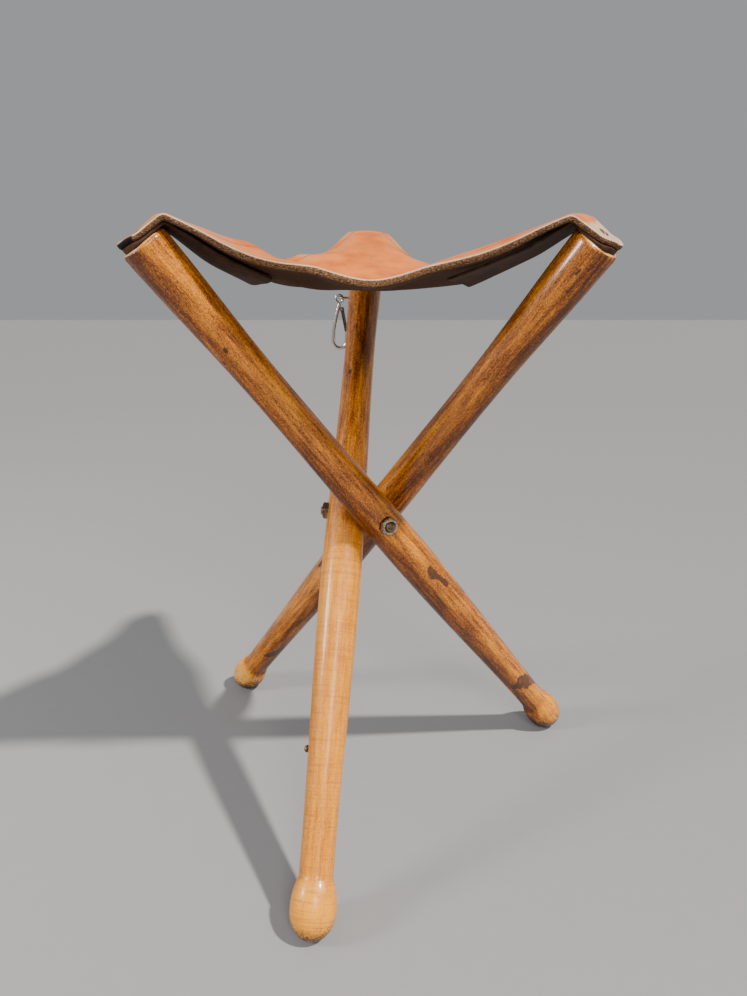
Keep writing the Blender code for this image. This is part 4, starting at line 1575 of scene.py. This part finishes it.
@dataclass(frozen=True)
class PivotBolt:
    """Three-way bolt and the nuts on its arms."""

    radius: float = 4 * MM
    offset: float = 20.5 * MM
    seat: float = 13.3 * MM
    nut_flats: float = 13 * MM
    nut_height: float = 6.5 * MM
    nut_chamfer: float = 0.75 * MM
    nut_face: float = 0.985
    proud: float = 2 * MM
    thread: float = 1.25 * MM
    thread_deep: float = 0.5 * MM

    def arm_outline(self) -> Outline:
        """Outline of one arm, threaded near its domed end."""
        radius = self.radius
        end = self.seat + self.nut_height + self.proud
        points = [(0.0, -self.offset), (radius, -self.offset), (radius, self.seat)]
        for i in range(int((end - 1.1 * MM - self.seat) / self.thread)):
            low = self.seat + i * self.thread
            points.append((radius - self.thread_deep, low + 0.45 * self.thread))
            points.append((radius, low + 0.9 * self.thread))
        points += [(radius - 0.3 * MM, end - 0.9 * MM), (radius - 0.9 * MM, end - 0.25 * MM)]
        points += [(radius - 2 * MM, end), (1.0 * MM, end)]
        return points + [(0.6 * MM, end - 0.5 * MM), (0.0, end - 0.6 * MM)]

    def build_bolt(self, finish: Material) -> Piece:
        """Builds the bolt's three arms in one piece.

        Args:
            finish: The bolt's metal.

        Returns:
            The bolt.
        """
        arms = []
        for stance in STANCES:
            arm = turned("bolt_arms", self.arm_outline(), 40)
            settle(arm, stance.arm_matrix())
            arms.append(arm)
        bolt = arms[0]
        for arm in arms[1:]:
            combine(bolt, arm, "UNION")
        shade(bolt, 30)
        hand_over(bolt, finish, "three_way_bolt", "hub")
        return bolt

    def build_nut(self, stance: Stance, finish: Material) -> Piece:
        """Builds the nut on one arm.

        Args:
            stance: The leg that the nut holds.
            finish: The nut's metal.

        Returns:
            The nut.
        """
        deselect()
        corner = self.nut_flats / math.sqrt(3)
        high = self.nut_height
        middle = (0, 0, high / 2)
        bpy.ops.mesh.primitive_cylinder_add(vertices=6, radius=corner, depth=high, location=middle)
        nut = take("hex_nut_" + stance.side.value)
        settle(nut)
        edit()
        bpy.ops.mesh.bevel(offset=0.25 * MM, segments=2)
        bpy.ops.object.mode_set(mode="OBJECT")
        flat = self.nut_flats / 2
        bevel = self.nut_chamfer
        face = self.nut_face * flat
        chamfer = [(0.0, -MM), (flat, -MM), (face, 0.0), (corner, bevel)]
        chamfer += [(corner, high - bevel), (face, high), (flat, high + MM), (0.0, high + MM)]
        combine(nut, turned("nut_chamfer", chamfer, 64), "INTERSECT")
        loose = self.radius + 0.25 * MM
        bore = [(0.0, -MM), (loose, -MM), (loose, high - 0.6 * MM)]
        bore += [(self.radius + 0.8 * MM, high + 0.1 * MM), (0.0, high + 0.1 * MM)]
        combine(nut, turned("nut_bore", bore, 40), "DIFFERENCE")
        settle(nut, stance.arm_matrix() @ Matrix.Translation((0, 0, self.seat)))
        shade(nut, 25)
        hand_over(nut, finish, "pivot_nut_" + stance.side.value, "hub")
        return nut


@dataclass(frozen=True)
class CornerScrew:
    """Slotted screw that holds a corner of the leather on its leg end."""

    form: SeatForm
    head: float = 4.6 * MM
    shank: float = 2.3 * MM
    length: float = 38 * MM
    crown: float = 0.25 * MM
    brim: float = 0.05 * MM
    slot_width: float = 1.1 * MM
    slot_turn: float = 0.6

    def build(self, finish: Material) -> Piece:
        """Builds the screw.

        Args:
            finish: Its metal.

        Returns:
            The screw.
        """
        stance = self.form.stance
        top = self.form.stack
        outline = [(0.0, top + self.crown)]
        for share in np.arange(1, 7) / 6:
            dome = (self.crown - self.brim) * (1 - share * share)
            outline.append((self.head * share, top + self.brim + dome))
        tip = top - self.length
        sink = top - (self.head - self.shank)
        outline += [(self.shank, sink), (self.shank, tip + 2 * self.shank), (0.0, tip)]
        screw = turned("slotted_screw_" + stance.side.value, outline, 40)
        place = Matrix.Translation((0, 0, top + 0.3 * MM)) @ Matrix.Rotation(self.slot_turn, 4, "Z")
        slot = block("slot_cutter", (3 * self.head, self.slot_width, 2.4 * MM), place)
        combine(screw, slot, "DIFFERENCE")
        settle(screw, stance.matrix() @ Matrix.Translation((0, 0, TurnedLeg.above)))
        shade(screw, 35)
        hand_over(screw, finish, "corner_screw_" + stance.side.value, stance.side.body)
        return screw


@dataclass(frozen=True)
class LegFittings:
    """Screw eye, snap hook and strap stud on the front leg."""

    stance: Stance
    leg: TurnedLeg
    eye_drop: float = 55 * MM
    eye_stand: float = 1.2 * MM
    eye_ring: float = 3.3 * MM
    eye_wire: float = 1.0 * MM
    eye_depth: float = 12 * MM
    ring: float = 3.5 * MM
    ring_wire: float = 1.2 * MM
    gap: float = 0.3 * MM
    neck: float = 2 * MM
    wire: float = 1.9 * MM
    bend: float = 6.6 * MM
    bend_down: float = 41 * MM
    bow: float = 1.4 * MM
    nose_down: float = 31.8 * MM
    lug: float = 2 * MM
    lug_thickness: float = 1.8 * MM
    web_height: float = 2.6 * MM
    web_up: float = 0.4 * MM
    pin_across: float = 2.5 * MM
    pin_down: float = 10.5 * MM
    pin_hole: float = 1.05 * MM
    stud_down: float = 192 * MM
    stud_head: float = 2.8 * MM
    stud_neck: float = 0.45 * MM
    stud_shank: float = 1.2 * MM
    stud_depth: float = 10 * MM

    @property
    def eye_up(self) -> float:
        """Height of the eye up the leg."""
        return self.leg.above - self.eye_drop

    @property
    def eye_out(self) -> float:
        """Distance of the eye's ring from the leg's axis."""
        return self.leg.radius(self.eye_up) + self.eye_stand + self.eye_wire + self.eye_ring

    def level(self) -> Matrix:
        """Level frame on the leg's axis at the eye's height."""
        up = self.stance.matrix() @ Matrix.Translation((0, 0, self.eye_up))
        return up @ Matrix.Rotation(-self.stance.splay, 4, "X")

    def build_eye(self, finish: Material) -> Piece:
        """Builds the screw eye that the hook hangs on.

        Args:
            finish: The eye's metal.

        Returns:
            The screw eye.
        """
        out = self.eye_out
        place = Matrix.Translation((out, 0, 0))
        eye = wire_ring("wire_eye", self.eye_ring, self.eye_wire, 56, place)
        start = self.leg.radius(self.eye_up) - self.eye_depth
        stop = out - self.eye_ring + 0.4 * self.eye_wire
        thick = 0.95 * self.eye_wire
        outline = [(0.0, start), (thick, start + 3 * thick), (thick, stop), (0.0, stop)]
        shank = turned("eye_shank", outline, 20)
        settle(shank, Matrix.Rotation(QUARTER, 4, "Y"))
        combine(eye, shank, "UNION")
        settle(eye, self.level())
        shade(eye, 50)
        hand_over(eye, finish, "screw_eye", self.stance.side.body)
        return eye

    def hook_path(self) -> list[Vector]:
        """Centre line of the hook from its neck round the bend to its nose."""
        points = []
        start = Vector((0, 0, -self.ring - self.neck))
        shoulder = Vector((self.bend, 0, -self.bend_down))
        for i in range(24):
            bowed = Vector((self.bow * math.sin(math.pi * i / 24), 0, 0))
            points.append(start.lerp(shoulder, i / 24) + bowed)
        for i in range(33):
            angle = math.pi * i / 32
            low = -self.bend_down - self.bend * math.sin(angle)
            points.append(Vector((self.bend * math.cos(angle), 0, low)))
        for i in range(1, 7):
            high = -self.bend_down + (self.bend_down - self.nose_down) * i / 6
            points.append(Vector((-self.bend, 0, high)))
        return points

    def build_hook(self, finish: Material) -> Piece:
        """Builds the snap hook's bent bar, ring and lug.

        Args:
            finish: The hook's metal.

        Returns:
            The hook.
        """
        hook = bent_bar("snap_hook_bar", self.hook_path(), self.wire)
        drop = self.ring - self.ring_wire - self.eye_wire - self.gap
        upright = Matrix.Translation((0, 0, -drop)) @ Matrix.Rotation(QUARTER, 4, "X")
        ring = wire_ring("hook_ring", self.ring, self.ring_wire, 48, upright)
        combine(hook, ring, "UNION")
        half = self.lug_thickness / 2
        pin = Matrix.Translation((-self.pin_across, 0, -self.pin_down))
        pin = pin @ Matrix.Rotation(-QUARTER, 4, "X")
        lug = rod("hook_lug", self.lug, half, 32)
        settle(lug, pin)
        combine(hook, lug, "UNION")
        reach = self.pin_across + self.wire
        spot = (reach / 2 - self.pin_across, 0, self.web_up - self.pin_down)
        size = (reach, 0.98 * self.lug_thickness, self.web_height)
        combine(hook, block("hook_web", size, Matrix.Translation(spot)), "UNION")
        hole = rod("pin_hole", self.pin_hole, 4 * half, 24)
        settle(hole, pin)
        combine(hook, hole, "DIFFERENCE")
        settle(hook, self.level() @ Matrix.Translation((self.eye_out + self.eye_ring, 0, 0)))
        shade(hook, 40)
        hand_over(hook, finish, "snap_hook", "hook")
        return hook

    def build_stud(self, finish: Material) -> Piece:
        """Builds the round-headed stud low on the leg.

        Args:
            finish: The stud's metal.

        Returns:
            The stud.
        """
        surface = self.leg.radius(-self.stud_down)
        start = surface - self.stud_depth
        base = surface + 1.3 * self.gap
        head, neck, shank = self.stud_head, self.stud_neck, self.stud_shank
        outline = [(0.0, start), (shank, start + 2 * MM), (shank, base)]
        outline += [(head - 0.5 * MM, base), (head - 0.1 * MM, base + 0.15 * MM)]
        for step in range(11):
            angle = QUARTER * step / 10
            radius = head * math.cos(angle) if step < 10 else 0.0
            outline.append((radius, base + neck + (head - neck) * math.sin(angle)))
        stud = turned("ball_stud", outline, 40)
        low = self.stance.matrix() @ Matrix.Translation((0, 0, -self.stud_down))
        settle(stud, low @ Matrix.Rotation(QUARTER, 4, "Y"))
        shade(stud, 40)
        hand_over(stud, finish, "strap_stud", self.stance.side.body)
        return stud


class LampKind(Enum):
    """Ways that a light shines."""

    SUN = "SUN"
    SOFTBOX = "AREA"


@dataclass(frozen=True)
class Lamp:
    """A soft light: a sun's size is its angle in radians, a softbox's is its width in metres."""

    name: str
    kind: LampKind
    spot: Point
    size: float
    power: float
    colour: Colour = (1.0, 1.0, 1.0)

    def hang(self, aim: Vector) -> None:
        """Hangs the light, turned towards a point."""
        data = bpy.data.lights.new(self.name, self.kind.value)
        if self.kind is LampKind.SUN:
            data.angle = self.size
        else:
            data.shape = "DISK"
            data.size = self.size
        data.energy = self.power
        data.color = self.colour
        lamp = bpy.data.objects.new(self.name, data)
        bpy.context.scene.collection.objects.link(lamp)
        lamp.location = self.spot
        lamp.rotation_euler = (aim - Vector(self.spot)).to_track_quat("-Z", "Y").to_euler()


@dataclass(frozen=True)
class Studio:
    """Floor, lights and camera."""

    camera_spot: Point = (-0.01497, -0.55297, 0.45)
    camera_pitch: float = 0.3181
    focal_pixels: float = 698.33
    image_height: float = 996
    sensor: float = 36.0
    floor_size: float = 12.0
    aim: Point = (0, 0, 0.3)
    sky: Colour = (0.60, 0.61, 0.63)
    sky_strength: float = 0.56
    lamps: tuple[Lamp, ...] = (
        Lamp("key_light", LampKind.SUN, (1.15, -0.47, 2.1), 0.05, 5.2, (1.0, 0.97, 0.92)),
        Lamp("front_light", LampKind.SOFTBOX, (0.35, -1.5, 1.3), 0.6, 14),
        Lamp("fill_light", LampKind.SOFTBOX, (-1.5, -0.45, 0.95), 0.4, 19, (0.97, 0.96, 1.0)),
    )

    def build(self, floor: Material) -> None:
        """Builds the stage.

        Args:
            floor: The floor's finish.
        """
        deselect()
        bpy.ops.mesh.primitive_plane_add(size=self.floor_size)
        ground = take("floor")
        ground.data.materials.append(floor)
        world = bpy.data.worlds.new("studio")
        bpy.context.scene.world = world
        world.use_nodes = True
        sky = world.node_tree.nodes["Background"]
        sky.inputs["Color"].default_value = (*self.sky, 1)
        sky.inputs["Strength"].default_value = self.sky_strength
        for lamp in self.lamps:
            lamp.hang(Vector(self.aim))
        view = bpy.data.cameras.new("photo_view")
        view.sensor_width = self.sensor
        view.lens = self.focal_pixels * self.sensor / self.image_height
        view.clip_start = 10 * MM
        camera = bpy.data.objects.new("photo_view", view)
        bpy.context.scene.collection.objects.link(camera)
        camera.location = self.camera_spot
        camera.rotation_euler = (QUARTER - self.camera_pitch, 0, 0)
        bpy.context.scene.camera = camera


STEEL = MetalFinish("old_steel", (0.50, 0.43, 0.34), (0.20, 0.12, 0.06), 0.5, 0.3)
BROWNED = MetalFinish("browned_steel", (0.26, 0.17, 0.11), (0.10, 0.055, 0.03), 0.5, 0.42)
NICKEL = MetalFinish("worn_nickel", (0.68, 0.66, 0.62), (0.20, 0.17, 0.14), 0.25, 0.2)
BLACKENED = MetalFinish("blackened_steel", (0.16, 0.14, 0.12), (0.05, 0.035, 0.03), 0.5, 0.38)


def dress_node(name: str, finish: Material) -> None:
    """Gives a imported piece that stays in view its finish."""
    for place in frame["nodes"][name].material_slots:
        place.material = finish


def report(*pieces: Piece) -> None:
    """Logs pieces and their face counts."""
    for obj in pieces:
        LOG.info("%s: %d faces", obj.name, len(obj.data.polygons))


def main() -> None:
    """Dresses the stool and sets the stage."""
    logging.basicConfig(level=logging.INFO, format="%(name)s %(message)s")
    wood = WoodFinish().make()
    leather = SeatFinish().make()
    dark_leather = TongueFinish().make()
    steel, browned, nickel, blackened = (m.make() for m in (STEEL, BROWNED, NICKEL, BLACKENED))
    leg = TurnedLeg()
    blank = turned("leg_blank", leg.outline(), leg.sides)
    report(*(leg.build(blank, stance, wood) for stance in STANCES))
    bpy.data.objects.remove(blank, do_unlink=True)
    forms = [SeatForm(stance) for stance in STANCES]
    report(*(SeatThird(form).build(leather) for form in forms))
    report(*(Tongue(form).build(dark_leather) for form in forms))
    bolt = PivotBolt()
    report(bolt.build_bolt(browned))
    for stance in STANCES:
        # The front nut's darker browned steel stands in for the shade it sits in: painted shade;
        # the right nut keeps the old steel.
        report(bolt.build_nut(stance, steel if stance.side is Side.RIGHT else browned))
    report(*(CornerScrew(form).build(browned) for form in forms))
    front = next(stance for stance in STANCES if stance.side is Side.FRONT)
    fittings = LegFittings(front, leg)
    report(fittings.build_eye(steel), fittings.build_hook(nickel), fittings.build_stud(browned))
    dress_node("snap_gate", blackened)
    dress_node("gate_pin", steel)
    dress_node("gate_spring", steel)
    Studio().build(FloorFinish().make())


if __name__ == "__main__":
    main()
